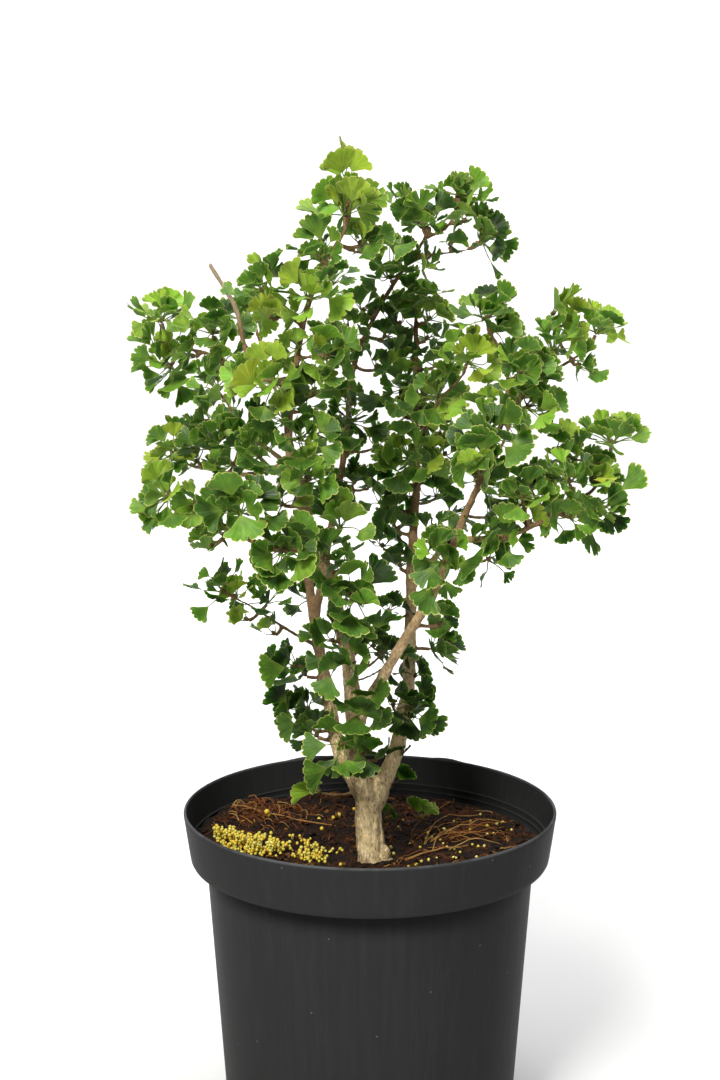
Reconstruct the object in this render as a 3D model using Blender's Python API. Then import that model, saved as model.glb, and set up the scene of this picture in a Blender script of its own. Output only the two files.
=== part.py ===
# Dwarf ginkgo shrub in a round nursery pot.
# The origin is the centre of the pot's base, +Z is up and -Y is the front.
# Places and sizes are written in millimetres and brought to metres by mm.

import math
import random

import bmesh
import bpy
from mathutils import Matrix, Vector
from mathutils.bvhtree import BVHTree

mm = 0.001
up = Vector((0.0, 0.0, 1.0))

# Driving dimensions
touch_gap = 0.3 * mm
pot_height = 200 * mm
pot_lip_radius = 115 * mm
pot_lip_low_radius = 110.5 * mm
pot_lip_height = 31 * mm
pot_body_top_radius = 101.5 * mm
pot_base_radius = 89.5 * mm
pot_wall = 1.8 * mm
pot_floor = 3.0 * mm
pot_base_round = 3 * mm
pot_step_round = 2 * mm
pot_rim_round = 0.7 * mm
pot_sides = 40

soil_centre_height = 165 * mm
soil_edge_height = 174 * mm
soil_left_mound = 9 * mm
root_depth = 34 * mm
root_radius = 9.4 * mm
root_clearance = 0.8 * mm
root_centre = (1 * mm, -2 * mm)
soil_ring_radii = (80 * mm, 45 * mm)

heap_centre = (-78 * mm, 8 * mm)
heap_half_length = 30 * mm
heap_half_width = 15 * mm
heap_height = 4.5 * mm
heap_edge = 1 * mm
heap_turn = math.radians(-14)
heap_sides = 16
heap_rings = 3
litter_lift = 0.4 * mm

spur_start_radius = 1.5 * mm
spur_knee_radius = 1.3 * mm
spur_tip_radius = 1.7 * mm
spur_sides = 4

bud_radius = 1.9 * mm
bud_height = 2.6 * mm
bud_tip = 1.6 * mm
bud_sides = 5
stalk_half_width = 0.45 * mm
stalk_height = 0.5 * mm
blade_half_angle = math.radians(58)
blade_cup = 0.12
leaf_clearance = 0.5 * mm

# How far a leaf may lean away from its spur, how long its stalk may be, how much longer the stalk may
# get with each try, and how many tries a leaf has to find a free place
lean_least = math.radians(28)
lean_most = math.radians(84)
stalk_shortest = 6 * mm
stalk_longest = 14 * mm
stalk_growth = 0.08 * mm
leaf_tries = 60
placed_leaf_tries = 24

# Dry twigs on the soil: start and end in millimetres, radius and bow
fallen_twigs = {
    "fallen_twig_left": ((-90, 52, 0), (-22, 50, 0), 0.7, -3),
    "fallen_twig_right": ((22, -6, 0), (62, 12, 0), 0.8, 2),
}

# Where each stem and branch runs, x to the right, y away from the front, z up, in millimetres,
# and its radius at the start and at the end
stems = {
    "trunk": ([(1, -2, 131), (1, -2, 165), (0, -2, 180), (-1, -3, 196), (-2, -3, 209)], 9.4, 8.6),
    "left_stem": ([(-1, -3, 200), (-9, -6, 231), (-10, -15, 260), (-13, -24, 296), (-22, -36, 339),
                   (-36, -44, 384), (-47, -44, 425), (-44, -36, 467), (-36, -24, 507), (-23, -18, 536),
                   (-15, -16, 549)], 6.6, 1.2),
    "back_left_stem": ([(-4, -1, 206), (-19, 13, 231), (-27, 41, 262), (-36, 66, 302), (-43, 84, 352),
                        (-50, 98, 407), (-62, 108, 450), (-75, 112, 490)], 5.6, 1.1),
    "right_stem": ([(1, -2, 202), (12, 10, 233), (23, 26, 266), (26, 38, 305), (27, 47, 348),
                    (30, 55, 400), (29, 54, 460), (29, 48, 500)], 6.4, 1.5),
    "front_stem": ([(-9, -12, 250), (-2, -26, 270), (19, -44, 312), (37, -56, 345), (52, -60, 385),
                    (68, -52, 422), (79, -38, 456), (75, -26, 480), (69, -21, 491)], 4.2, 1.2),
    "middle_stem": ([(-36, 66, 302), (-27, 71, 355), (-16, 68, 416), (-10, 57, 470), (8, 43, 510),
                     (29, 34, 541), (37, 30, 554)], 3.2, 1.2),
    "right_low_branch": ([(47, -60, 374), (77, -70, 378), (112, -66, 394), (128, -57, 405), (136, -50, 420)],
                         2.4, 1.0),
    "right_high_branch": ([(75, -45, 440), (94, -32, 461), (119, -12, 475), (132, 0, 483)], 2.2, 0.9),
    "right_inner_branch": ([(30, 55, 420), (42, 22, 448), (52, -6, 462), (55, -12, 467)], 1.8, 1.0),
    "top_branch": ([(33, 32, 548), (46, 29, 554), (53, 26, 565)], 1.4, 0.9),
    "top_outer_branch": ([(23, 37, 537), (46, 30, 539), (60, 25, 541)], 1.5, 0.9),
    "left_low_branch": ([(-31, -42, 368), (-55, -54, 368), (-77, -60, 379), (-108, -52, 396)], 2.6, 1.1),
    "left_thin_branch": ([(-34, 60, 288), (-51, 44, 301), (-74, 22, 321), (-84, 13, 328)], 1.7, 0.9),
    "left_middle_branch": ([(-45, -43, 417), (-71, -22, 408), (-97, -1, 409), (-114, 9, 412)], 2.2, 1.0),
    "left_high_branch": ([(-44, -37, 464), (-66, -20, 464), (-93, -2, 477), (-116, 8, 483), (-124, 11, 490)],
                         2.3, 1.0),
    "pruned_branch": ([(-70, -17, 468), (-75, -12, 486), (-80, -10, 506), (-95, -6, 531)], 1.9, 1.4),
    "left_short_branch": ([(-40, -28, 495), (-60, -38, 509)], 1.6, 1.0),
    "back_outer_branch": ([(-49, 96, 400), (-84, 116, 426), (-98, 120, 446)], 2.0, 1.0),
    "back_right_branch": ([(26, 43, 328), (56, 76, 363), (87, 96, 414), (97, 100, 440)], 2.6, 1.1),
    "back_top_branch": ([(-11, 60, 460), (-23, 100, 493), (-26, 108, 513)], 1.9, 1.0),
}

# Each tuft of leaves: its name, the stem it grows on, the place on that stem, the way its spur points,
# the spur's length, how many leaves it has and how wide they are
tufts = (
    ("crown_top", "left_stem", (-15, -16, 549), (0, -0.1, 1), 5, 8, 22),
    ("crown_left_of_top", "left_stem", (-27, -20, 527), (-0.4, -0.3, 1), 3, 6, 18),
    ("crown_bright", "left_stem", (-36, -24, 503), (0.1, -0.8, 0.6), 6, 9, 20),
    ("centre_top", "middle_stem", (12, 41, 517), (0, -0.3, 1), 4, 9, 18),
    ("right_top_fans", "middle_stem", (33, 32, 548), (-0.2, -0.3, 1), 3, 9, 19),
    ("right_top_tip", "top_branch", (53, 26, 565), (0.2, -0.1, 1), 4, 7, 16),
    ("right_top_outer", "top_outer_branch", (60, 25, 541), (0.8, -0.3, 0.6), 5, 9, 18),
    ("right_shoulder", "front_stem", (69, -21, 491), (-0.2, -0.4, 1), 4, 9, 18),
    ("centre_right_top", "right_stem", (29, 48, 500), (0, -0.4, 1), 5, 10, 20),
    ("right_high_fans", "right_high_branch", (106, -23, 468), (0, -0.3, 1), 9, 9, 19),
    ("right_high_tip", "right_high_branch", (132, 0, 483), (0.3, -0.1, 0.9), 4, 9, 17),
    ("right_high_inner", "front_stem", (79, -34, 461), (0.5, -0.8, 0.5), 10, 9, 20),
    ("centre_bright", "right_inner_branch", (55, -12, 467), (0.2, -0.6, 0.8), 4, 8, 19),
    ("centre_right", "right_inner_branch", (42, 22, 448), (-0.1, -0.9, 0.3), 9, 9, 19),
    ("right_middle", "front_stem", (76, -44, 442), (0.9, -0.3, 0.4), 12, 9, 19),
    ("right_front", "front_stem", (69, -50, 427), (-0.2, -1, 0.3), 10, 9, 21),
    ("right_low_top", "right_low_branch", (86, -70, 381), (-0.1, -0.3, 1), 14, 9, 20),
    ("right_low_middle", "right_low_branch", (112, -66, 394), (-0.1, -0.2, 1), 10, 9, 19),
    ("right_tip", "right_low_branch", (136, -50, 420), (0.1, 0, 1), 4, 10, 18),
    ("right_tip_under", "right_low_branch", (122, -60, 400), (0.3, -0.7, -0.4), 8, 8, 20),
    ("front_right", "front_stem", (43, -59, 362), (-0.2, -1, 0.1), 9, 9, 21),
    ("stem_right_outer", "right_stem", (26, 47, 357), (0.9, -0.4, 0.2), 11, 8, 18),
    ("centre_middle", "right_stem", (30, 56, 410), (-0.3, -1, 0.1), 14, 9, 19),
    ("centre_high", "right_stem", (29, 55, 452), (-0.4, -0.9, 0.3), 12, 9, 19),
    ("middle_high", "middle_stem", (-8, 52, 483), (-0.5, -0.7, 0.4), 12, 9, 18),
    ("middle_heart", "middle_stem", (-13, 67, 432), (0.1, -1, 0.2), 14, 9, 19),
    ("left_stem_high", "left_stem", (-42, -33, 480), (0.8, -0.6, -0.1), 16, 9, 19),
    ("left_bright", "left_stem", (-45, -38, 458), (-0.7, -0.8, 0.3), 12, 9, 23),
    ("left_stem_middle", "left_stem", (-46, -43, 430), (0.5, -0.9, 0.1), 9, 9, 19),
    ("left_inner", "left_middle_branch", (-64, -28, 410), (0, -0.7, 0.6), 10, 9, 19),
    ("left_middle", "left_middle_branch", (-93, -5, 408), (-0.1, -0.4, 1), 10, 9, 19),
    ("left_middle_tip", "left_middle_branch", (-114, 9, 412), (-0.6, -0.3, 0.6), 4, 9, 18),
    ("left_low_tip", "left_low_branch", (-108, -52, 396), (-0.7, -0.5, 0.3), 4, 10, 19),
    ("left_low_top", "left_low_branch", (-74, -60, 378), (0.1, -0.6, 0.8), 12, 9, 22),
    ("left_low_inner", "left_low_branch", (-52, -52, 367), (0.2, -1, 0.1), 9, 9, 22),
    ("left_high_tip", "left_high_branch", (-124, 11, 490), (-0.2, -0.3, 0.9), 4, 9, 18),
    ("left_high_outer", "left_high_branch", (-111, 7, 485), (-0.5, -0.4, -0.7), 10, 9, 19),
    ("left_high_top", "left_high_branch", (-93, -2, 479), (0, -0.4, 1), 10, 9, 20),
    ("left_high_short", "left_short_branch", (-59, -38, 508), (-0.4, -0.4, 0.9), 3, 9, 18),
    ("low_left_tip", "left_thin_branch", (-84, 13, 328), (-0.6, -0.3, 0.5), 4, 9, 17),
    ("low_left_inner", "left_thin_branch", (-65, 31, 312), (0, -0.4, 0.9), 7, 8, 14),
    ("low_back_left", "back_left_stem", (-32, 51, 275), (-0.9, -0.3, 0.1), 14, 5, 23),
    ("low_front_left", "left_stem", (-14, -25, 300), (-0.3, -1, 0.1), 10, 7, 22),
    ("middle_front", "left_stem", (-21, -36, 338), (0.7, -0.8, 0.2), 12, 8, 24),
    ("low_front", "left_stem", (-10, -17, 271), (0.3, -1, 0.1), 11, 6, 24),
    ("low_front_base", "left_stem", (-9, -9, 244), (-0.6, -1, 0.1), 10, 7, 22),
    ("low_right", "right_stem", (20, 23, 261), (0.3, -1, 0), 10, 8, 23),
    ("low_right_outer", "right_stem", (26, 33, 288), (0.9, -0.3, 0.3), 12, 8, 20),
    ("back_left_top", "back_left_stem", (-75, 112, 490), (-0.2, 0.3, 1), 7, 9, 20),
    ("back_left", "back_left_stem", (-49, 96, 385), (0.1, 1, 0.3), 12, 9, 20),
    ("back_far_left", "back_outer_branch", (-98, 120, 446), (-0.6, 0.5, 0.7), 7, 9, 20),
    ("back_right", "back_right_branch", (97, 100, 440), (0.5, 0.4, 0.8), 7, 9, 20),
    ("back_centre", "right_stem", (29, 54, 440), (0.2, 1, 0.3), 14, 9, 20),
    ("back_top", "back_top_branch", (-26, 108, 513), (0, 0.4, 1), 6, 9, 19),
)

# Leaves that hang out from the rest: the tuft they grow on, the place where the blade starts,
# the way the blade points and its width
placed_leaves = (
    ("crown_left_of_top", (-29, -22, 544), (-0.25, 0, 1), 22),
    ("crown_top", (-18, -18, 580), (-0.4, 0, 1), 22),
    ("crown_top", (-11, -26, 565), (0.2, -0.1, 1), 24),
    ("crown_top", (-4, -20, 566), (1, 0, 0.8), 22),
    ("crown_top", (-22, -18, 567), (-1, 0, 0.7), 21),
    ("centre_top", (3, 34, 540), (-0.7, -0.2, 0.8), 18),
    ("centre_top", (12, 32, 543), (0, -0.2, 1), 19),
    ("centre_top", (21, 34, 540), (0.7, -0.2, 0.8), 18),
    ("right_top_fans", (22, 27, 562), (-0.9, -0.1, 0.6), 20),
    ("right_top_fans", (31, 24, 564), (-0.2, -0.1, 1), 22),
    ("right_top_fans", (40, 27, 563), (0.6, -0.1, 0.9), 20),
    ("right_top_tip", (50, 24, 578), (-0.3, 0, 1), 14),
    ("right_top_tip", (60, 21, 576), (0.7, 0, 0.8), 19),
    ("right_top_outer", (72, 19, 551), (0.8, 0, 0.6), 21),
    ("right_top_outer", (72, 17, 542), (1, 0, -0.2), 19),
    ("centre_bright", (60, -24, 476), (0.3, -0.1, 1), 24),
    ("middle_front", (-4, -56, 336), (0, -0.1, 1), 20),
    ("middle_front", (4, -54, 322), (0.2, -0.2, 1), 24),
    ("low_front", (-6, -42, 268), (0.5, -0.3, 0.8), 26),
    ("low_front_left", (-22, -46, 296), (-0.2, -0.2, 1), 22),
    ("low_front_left", (-8, -44, 296), (0.5, -0.2, 0.3), 20),
    ("low_front_base", (-26, -30, 232), (-0.9, -0.3, -0.3), 23),
    ("low_front_base", (-8, -30, 242), (0.2, -0.3, -0.9), 22),
    ("low_right", (30, 2, 254), (0.8, -0.3, -0.1), 24),
    ("low_back_left", (-54, 36, 279), (-0.9, -0.3, -0.1), 24),
    ("left_bright", (-66, -62, 462), (-0.5, -0.3, 0.6), 25),
    ("left_low_top", (-72, -82, 391), (0.3, -0.3, -0.8), 26),
    ("left_low_inner", (-42, -72, 364), (0.7, -0.3, -0.3), 25),
    ("right_front", (62, -72, 425), (0.1, -0.2, 1), 22),
    ("right_tip_under", (133, -74, 392), (0.2, -0.3, -1), 23),
    ("front_right", (34, -76, 361), (-0.3, -0.3, -0.8), 24),
)


def clear_scene():
    for old in list(bpy.data.objects):
        bpy.data.objects.remove(old, do_unlink=True)


def make_material(name, colour, roughness, metallic=0.0):
    material = bpy.data.materials.new(name)
    material.use_nodes = True
    shader = material.node_tree.nodes["Principled BSDF"]
    shader.inputs["Base Color"].default_value = (*colour, 1.0)
    shader.inputs["Roughness"].default_value = roughness
    shader.inputs["Metallic"].default_value = metallic
    return material


def make_object(name, bm, material=None, smooth=False):
    bmesh.ops.recalc_face_normals(bm, faces=bm.faces[:])
    mesh = bpy.data.meshes.new(name)
    bm.to_mesh(mesh)
    bm.free()
    if smooth:
        mesh.shade_smooth()
        mesh.set_sharp_from_angle(angle=math.radians(35))
    piece = bpy.data.objects.new(name, mesh)
    bpy.context.scene.collection.objects.link(piece)
    if material:
        mesh.materials.append(material)
    return piece


def union_of(first, others):
    # The others stay in the scene as hidden guides, and the first object becomes one body with them
    guides = bpy.data.collections.new(first.name + "_parts")
    bpy.context.scene.collection.children.link(guides)
    for other in others:
        bpy.context.scene.collection.objects.unlink(other)
        guides.objects.link(other)
        hide_guide(other)
    join = first.modifiers.new("join", "BOOLEAN")
    join.operation = "UNION"
    join.operand_type = "COLLECTION"
    join.collection = guides
    join.solver = "EXACT"


def hide_guide(guide):
    guide.hide_render = True
    guide.display_type = "WIRE"


def ring_of(bm, centre, direction, radius, sides, turn=0.0):
    spin = direction.to_track_quat("Z", "Y")
    ring = []
    for index in range(sides):
        angle = turn + math.tau * index / sides
        offset = Vector((math.cos(angle) * radius, math.sin(angle) * radius, 0.0))
        ring.append(bm.verts.new(centre + spin @ offset))
    return ring


def tube(name, points, radii, sides):
    bm = bmesh.new()
    rings = []
    last = len(points) - 1
    for index, point in enumerate(points):
        ahead = points[min(index + 1, last)] - point
        behind = point - points[max(index - 1, 0)]
        direction = (ahead.normalized() + behind.normalized()).normalized()
        rings.append(ring_of(bm, point, direction, radii[index], sides))
    for low, high in zip(rings, rings[1:]):
        for index in range(sides):
            after = (index + 1) % sides
            bm.faces.new((low[index], low[after], high[after], high[index]))
    bm.faces.new(rings[0])
    bm.faces.new(rings[-1])
    bmesh.ops.triangulate(bm, faces=[face for face in bm.faces if len(face.verts) == 4])
    return make_object(name, bm)


def turned(profile, sides):
    # A profile of (radius, height) turned about the Z axis. Its first and last points are on the axis
    bm = bmesh.new()
    rings = []
    for radius, height in profile[1:-1]:
        rings.append(ring_of(bm, Vector((0.0, 0.0, height)), up, radius, sides))
    for low, high in zip(rings, rings[1:]):
        for index in range(sides):
            after = (index + 1) % sides
            bm.faces.new((low[index], low[after], high[after], high[index]))
    bm.faces.new(rings[0])
    bm.faces.new(rings[-1])
    return bm


def make_pot():
    lip_bottom = pot_height - pot_lip_height
    lip_slope = (pot_lip_radius - pot_lip_low_radius) / pot_lip_height
    body_inner = pot_body_top_radius - pot_wall
    lip_inner = pot_lip_low_radius - pot_wall
    profile = [
        (0.0, 0.0),
        (pot_base_radius - pot_base_round, 0.0),
        (pot_base_radius, pot_base_round),
        (pot_body_top_radius, lip_bottom),
        (pot_lip_low_radius - 0.5 * pot_step_round, lip_bottom + 0.2 * pot_step_round),
        (pot_lip_low_radius + pot_step_round * lip_slope, lip_bottom + pot_step_round),
        (pot_lip_radius, pot_height - 1.7 * pot_rim_round),
        (pot_lip_radius - pot_rim_round, pot_height),
        (pot_lip_radius - pot_wall, pot_height),
        (lip_inner + 1.5 * pot_step_round * lip_slope, lip_bottom + 1.7 * pot_step_round),
        (lip_inner - 0.4 * pot_step_round, lip_bottom + pot_step_round),
        (body_inner, lip_bottom + pot_wall),
        (pot_base_radius - pot_wall, pot_floor),
        (0.0, pot_floor),
    ]
    plastic = make_material("black_plastic", (0.022, 0.023, 0.024), 0.45)
    return make_object("nursery_pot", turned(profile, pot_sides), plastic, smooth=True)


def soil_height(x, y):
    # The soil is lowest at the trunk, and banked against the pot's wall, most of all on the left
    radius = math.hypot(x, y)
    leftness = max(0.0, -x / radius) if radius > 0.0 else 0.0
    edge = soil_edge_height + soil_left_mound * leftness ** 2
    return soil_centre_height + (edge - soil_centre_height) * (radius / pot_lip_low_radius) ** 2


def make_soil():
    lip_bottom = pot_height - pot_lip_height
    lip_slope = (pot_lip_radius - pot_lip_low_radius) / pot_lip_height
    body_inner = pot_body_top_radius - pot_wall
    lip_inner = pot_lip_low_radius - pot_wall
    inset = touch_gap + 0.1 * mm
    socket = root_radius + root_clearance
    socket_floor = soil_centre_height - root_depth - touch_gap
    low_rings = [
        (pot_base_radius - pot_wall - inset, pot_floor + touch_gap),
        (body_inner - inset, lip_bottom + pot_wall + touch_gap),
        (lip_inner - 0.4 * pot_step_round - inset, lip_bottom + pot_step_round + touch_gap),
        (lip_inner + 1.5 * pot_step_round * lip_slope - inset, lip_bottom + 1.7 * pot_step_round + touch_gap),
    ]
    bm = bmesh.new()
    rings = [ring_of(bm, Vector((0, 0, height)), up, radius, pot_sides) for radius, height in low_rings]
    for radius in (lip_inner - inset, *soil_ring_radii, socket):
        ring = ring_of(bm, Vector((0, 0, 0)), up, radius, pot_sides)
        for vertex in ring:
            height = soil_height(vertex.co.x, vertex.co.y)
            vertex.co.z = height
            if len(rings) == len(low_rings):
                grow = 1.0 + (height - lip_bottom) * lip_slope / radius
                vertex.co.x *= grow
                vertex.co.y *= grow
        rings.append(ring)
    rings.append(ring_of(bm, Vector((0, 0, socket_floor)), up, socket, pot_sides))
    for ring in rings[-2:]:
        for vertex in ring:
            vertex.co.x += root_centre[0]
            vertex.co.y += root_centre[1]
    for low, high in zip(rings, rings[1:]):
        for index in range(pot_sides):
            after = (index + 1) % pot_sides
            bm.faces.new((low[index], low[after], high[after], high[index]))
    bm.faces.new(rings[0])
    bm.faces.new(rings[-1])
    bmesh.ops.triangulate(bm, faces=[face for face in bm.faces if len(face.verts) == 4])
    peat = make_material("peat", (0.035, 0.018, 0.010), 0.95)
    return make_object("potting_soil", bm, peat)


def make_prills():
    # One low heap stands for the loose grains. Its underside follows the soil a touch gap above it
    bm = bmesh.new()
    slant = Matrix.Rotation(heap_turn, 3, "Z")
    centre = Vector((*heap_centre, 0.0))
    above_soil = touch_gap + litter_lift
    top, under = [], []
    for ring in range(heap_rings, 0, -1):
        share = ring / heap_rings
        lift = heap_edge + heap_height * (1.0 - share ** 2)
        top.append([])
        under.append([])
        for index in range(heap_sides):
            angle = math.tau * index / heap_sides
            offset = Vector((math.cos(angle) * heap_half_length, math.sin(angle) * heap_half_width, 0.0))
            spot = centre + slant @ offset * share
            floor = soil_height(spot.x, spot.y) + above_soil
            under[-1].append(bm.verts.new((spot.x, spot.y, floor)))
            top[-1].append(bm.verts.new((spot.x, spot.y, floor + lift)))
    floor = soil_height(centre.x, centre.y) + above_soil
    crest = bm.verts.new((centre.x, centre.y, floor + heap_edge + heap_height))
    foot = bm.verts.new((centre.x, centre.y, floor))
    for index in range(heap_sides):
        after = (index + 1) % heap_sides
        bm.faces.new((under[0][index], under[0][after], top[0][after], top[0][index]))
        for layer in (top, under):
            for outer, inner in zip(layer, layer[1:]):
                bm.faces.new((outer[index], outer[after], inner[after], inner[index]))
        bm.faces.new((top[-1][index], top[-1][after], crest))
        bm.faces.new((under[-1][index], under[-1][after], foot))
    bmesh.ops.triangulate(bm, faces=[face for face in bm.faces if len(face.verts) == 4])
    coating = make_material("yellow_prills", (0.62, 0.50, 0.10), 0.5)
    return make_object("fertiliser_prills", bm, coating)


def make_fallen_twig(name, start, end, radius, bow):
    # A dry twig lying on the soil, a touch gap above its highest point
    points = []
    steps = 6
    for step in range(steps + 1):
        share = step / steps
        spot = start.lerp(end, share) * mm
        spot.y += bow * mm * math.sin(math.pi * share)
        spot.z = soil_height(spot.x, spot.y) + radius * mm + touch_gap + litter_lift
        points.append(spot)
    twig = tube(name, points, [radius * mm] * len(points), 5)
    twig.data.materials.append(make_material(name + "_bark", (0.30, 0.17, 0.09), 0.8))
    return twig


def nearest_on_route(route, place):
    best = None
    for low, high in zip(route, route[1:]):
        along = high - low
        share = max(0.0, min(1.0, (place - low).dot(along) / along.length_squared))
        spot = low + along * share
        if best is None or (spot - place).length < (best - place).length:
            best = spot
    return best


def bud_place(stem_name, place, direction, spur_length):
    route = [Vector(point) * mm for point in stems[stem_name][0]]
    root = nearest_on_route(route, Vector(place) * mm)
    axis = Vector(direction).normalized()
    return root, root + axis * (spur_length + 3) * mm, axis


def make_wood():
    parts = []
    for name, (route, start_radius, end_radius) in stems.items():
        points = [Vector(point) * mm for point in route]
        last = len(points) - 1
        radii = [(start_radius + (end_radius - start_radius) * (index / last) ** 0.8) * mm
                 for index in range(len(points))]
        sides = 10 if name == "trunk" else (6 if start_radius > 3 else 5)
        parts.append(tube("wood_" + name, points, radii, sides))
    for name, stem_name, place, direction, spur_length, count, width in tufts:
        root, bud, axis = bud_place(stem_name, place, direction, spur_length)
        tip = bud - axis * touch_gap
        knee = bud - axis * 0.4 * (bud - root).length
        radii = [spur_start_radius, spur_knee_radius, spur_tip_radius]
        parts.append(tube("spur_" + name, [root, knee, tip], radii, spur_sides))
    wood = parts[0]
    wood.name = "trunk_and_branches"
    union_of(wood, parts[1:])
    wood.data.materials.append(make_material("bark", (0.30, 0.21, 0.12), 0.85))
    return wood, parts


def margin_points(base, along, across, normal, width):
    reach = width / (2.0 * 0.9 * math.sin(blade_half_angle))
    points = []
    for share, length in ((-1.0, 0.9), (-0.34, 1.0), (0.34, 1.0), (1.0, 0.9)):
        angle = share * blade_half_angle
        lift = blade_cup * reach * share * share
        points.append(base + along * math.cos(angle) * reach * length
                      + across * math.sin(angle) * reach * length + normal * lift)
    return points


def leaf_envelope(start, base, along, across, normal, width):
    # A slightly swollen leaf, used to see that it is clear of everything else
    spread = leaf_clearance
    root = start.lerp(base, 0.3)
    points = []
    for centre in (root, base):
        for offset in (across, normal, -across, -normal):
            points.append(centre + offset * (stalk_half_width + spread))
    margin = margin_points(base, along, across, normal, width + 1 * mm)
    first = len(points)
    points += [point + normal * spread for point in margin]
    points += [point - normal * spread for point in margin]
    count = len(margin)
    faces = []
    for index in range(4):
        after = (index + 1) % 4
        faces.append((index, after, 4 + after, 4 + index))
    faces += [(5, first + index, first + index + 1) for index in range(count - 1)]
    faces += [(7, first + count + index, first + count + index + 1) for index in range(count - 1)]
    faces += [(first + index, first + index + 1, first + count + index + 1, first + count + index)
              for index in range(count - 1)]
    faces += [(6, first, first + count), (4, first + count - 1, first + 2 * count - 1)]
    return points, faces


class Obstacles:
    # Triangles that new leaves have to stay clear of
    def __init__(self):
        self.points = []
        self.faces = []
        self.tree = None

    def add(self, points, faces):
        first = len(self.points)
        self.points += [tuple(point) for point in points]
        self.faces += [tuple(first + index for index in face) for face in faces]
        self.tree = None

    def add_object(self, piece):
        self.add([vertex.co.copy() for vertex in piece.data.vertices],
                 [tuple(face.vertices) for face in piece.data.polygons])

    def touches(self, points, faces):
        if not self.faces:
            return False
        if self.tree is None:
            self.tree = BVHTree.FromPolygons(self.points, self.faces)
        return bool(self.tree.overlap(BVHTree.FromPolygons(points, faces)))


def blade_frame(along, facing):
    along = along.normalized()
    normal = facing - along * facing.dot(along)
    normal.normalize()
    across = normal.cross(along)
    return along, across, normal


def find_leaf(chance, start, outward, axis, width, around, beside):
    # Tries one lean, length and turn after another until the leaf is clear of the rest
    side = outward - axis * outward.dot(axis)
    side.normalize()
    for attempt in range(leaf_tries):
        looseness = 0.25 + 0.012 * attempt
        lean = chance.uniform(lean_least, lean_most)
        stalk = axis * math.cos(lean) + side * math.sin(lean)
        stalk += Vector([chance.uniform(-looseness, looseness) for _ in range(3)])
        stalk.normalize()
        length = chance.uniform(stalk_shortest, stalk_longest + stalk_growth * attempt)
        base = start + stalk * length
        along = stalk + side * chance.uniform(0.1, 0.7) - up * chance.uniform(-0.1, 0.35)
        facing = axis * 0.6 + up * 0.7 + Vector((0, -0.4, 0))
        facing += Vector([chance.uniform(-0.5, 0.5) for _ in range(3)])
        size = width * mm * chance.uniform(0.78, 1.12) * (1.0 - 0.005 * attempt)
        frame = blade_frame(along, facing)
        envelope = leaf_envelope(start, base, *frame, size)
        if not around.touches(*envelope) and not beside.touches(*envelope):
            return base, frame, size, envelope
    return None


def fixed_leaf(start, place, pointing, width, around, beside):
    # A leaf with a place of its own, moved a little way off only where it would touch something
    for shift in range(placed_leaf_tries):
        angle = shift * 2.4
        move = Vector((math.cos(angle), -0.5, math.sin(angle))) * shift * 0.35
        base = (Vector(place) + move) * mm
        facing = Vector((0.05, -1.0, 0.45))
        frame = blade_frame(Vector(pointing), facing)
        size = width * mm * (1.0 - 0.008 * shift)
        envelope = leaf_envelope(start, base, *frame, size)
        if not around.touches(*envelope) and not beside.touches(*envelope):
            return base, frame, size, envelope
    return None


def grow_leaf(bm, face_verts, leaf):
    # The leaf grows from one triangle of the bud: a stalk of three sides, then a thin fan
    base, (along, across, normal), size = leaf[:3]
    left = bm.verts.new(base - across * stalk_half_width)
    right = bm.verts.new(base + across * stalk_half_width)
    ridge = bm.verts.new(base + normal * stalk_height)
    ring = [right, ridge, left]
    turns = [ring[shift:] + ring[:shift] for shift in range(3)]
    ring = min(turns, key=lambda turn: sum((a.co - b.co).length for a, b in zip(face_verts, turn)))
    for index in range(3):
        after = (index + 1) % 3
        bm.faces.new((face_verts[index], face_verts[after], ring[after], ring[index]))
    margin = [bm.verts.new(point) for point in margin_points(base, along, across, normal, size)]
    for low, high in zip(margin, margin[1:]):
        bm.faces.new((ridge, low, high))
        bm.faces.new((left, high, low))
    bm.faces.new((ridge, left, margin[0]))
    bm.faces.new((ridge, margin[-1], right))
    bm.faces.new((left, right, margin[-1]))


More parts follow.
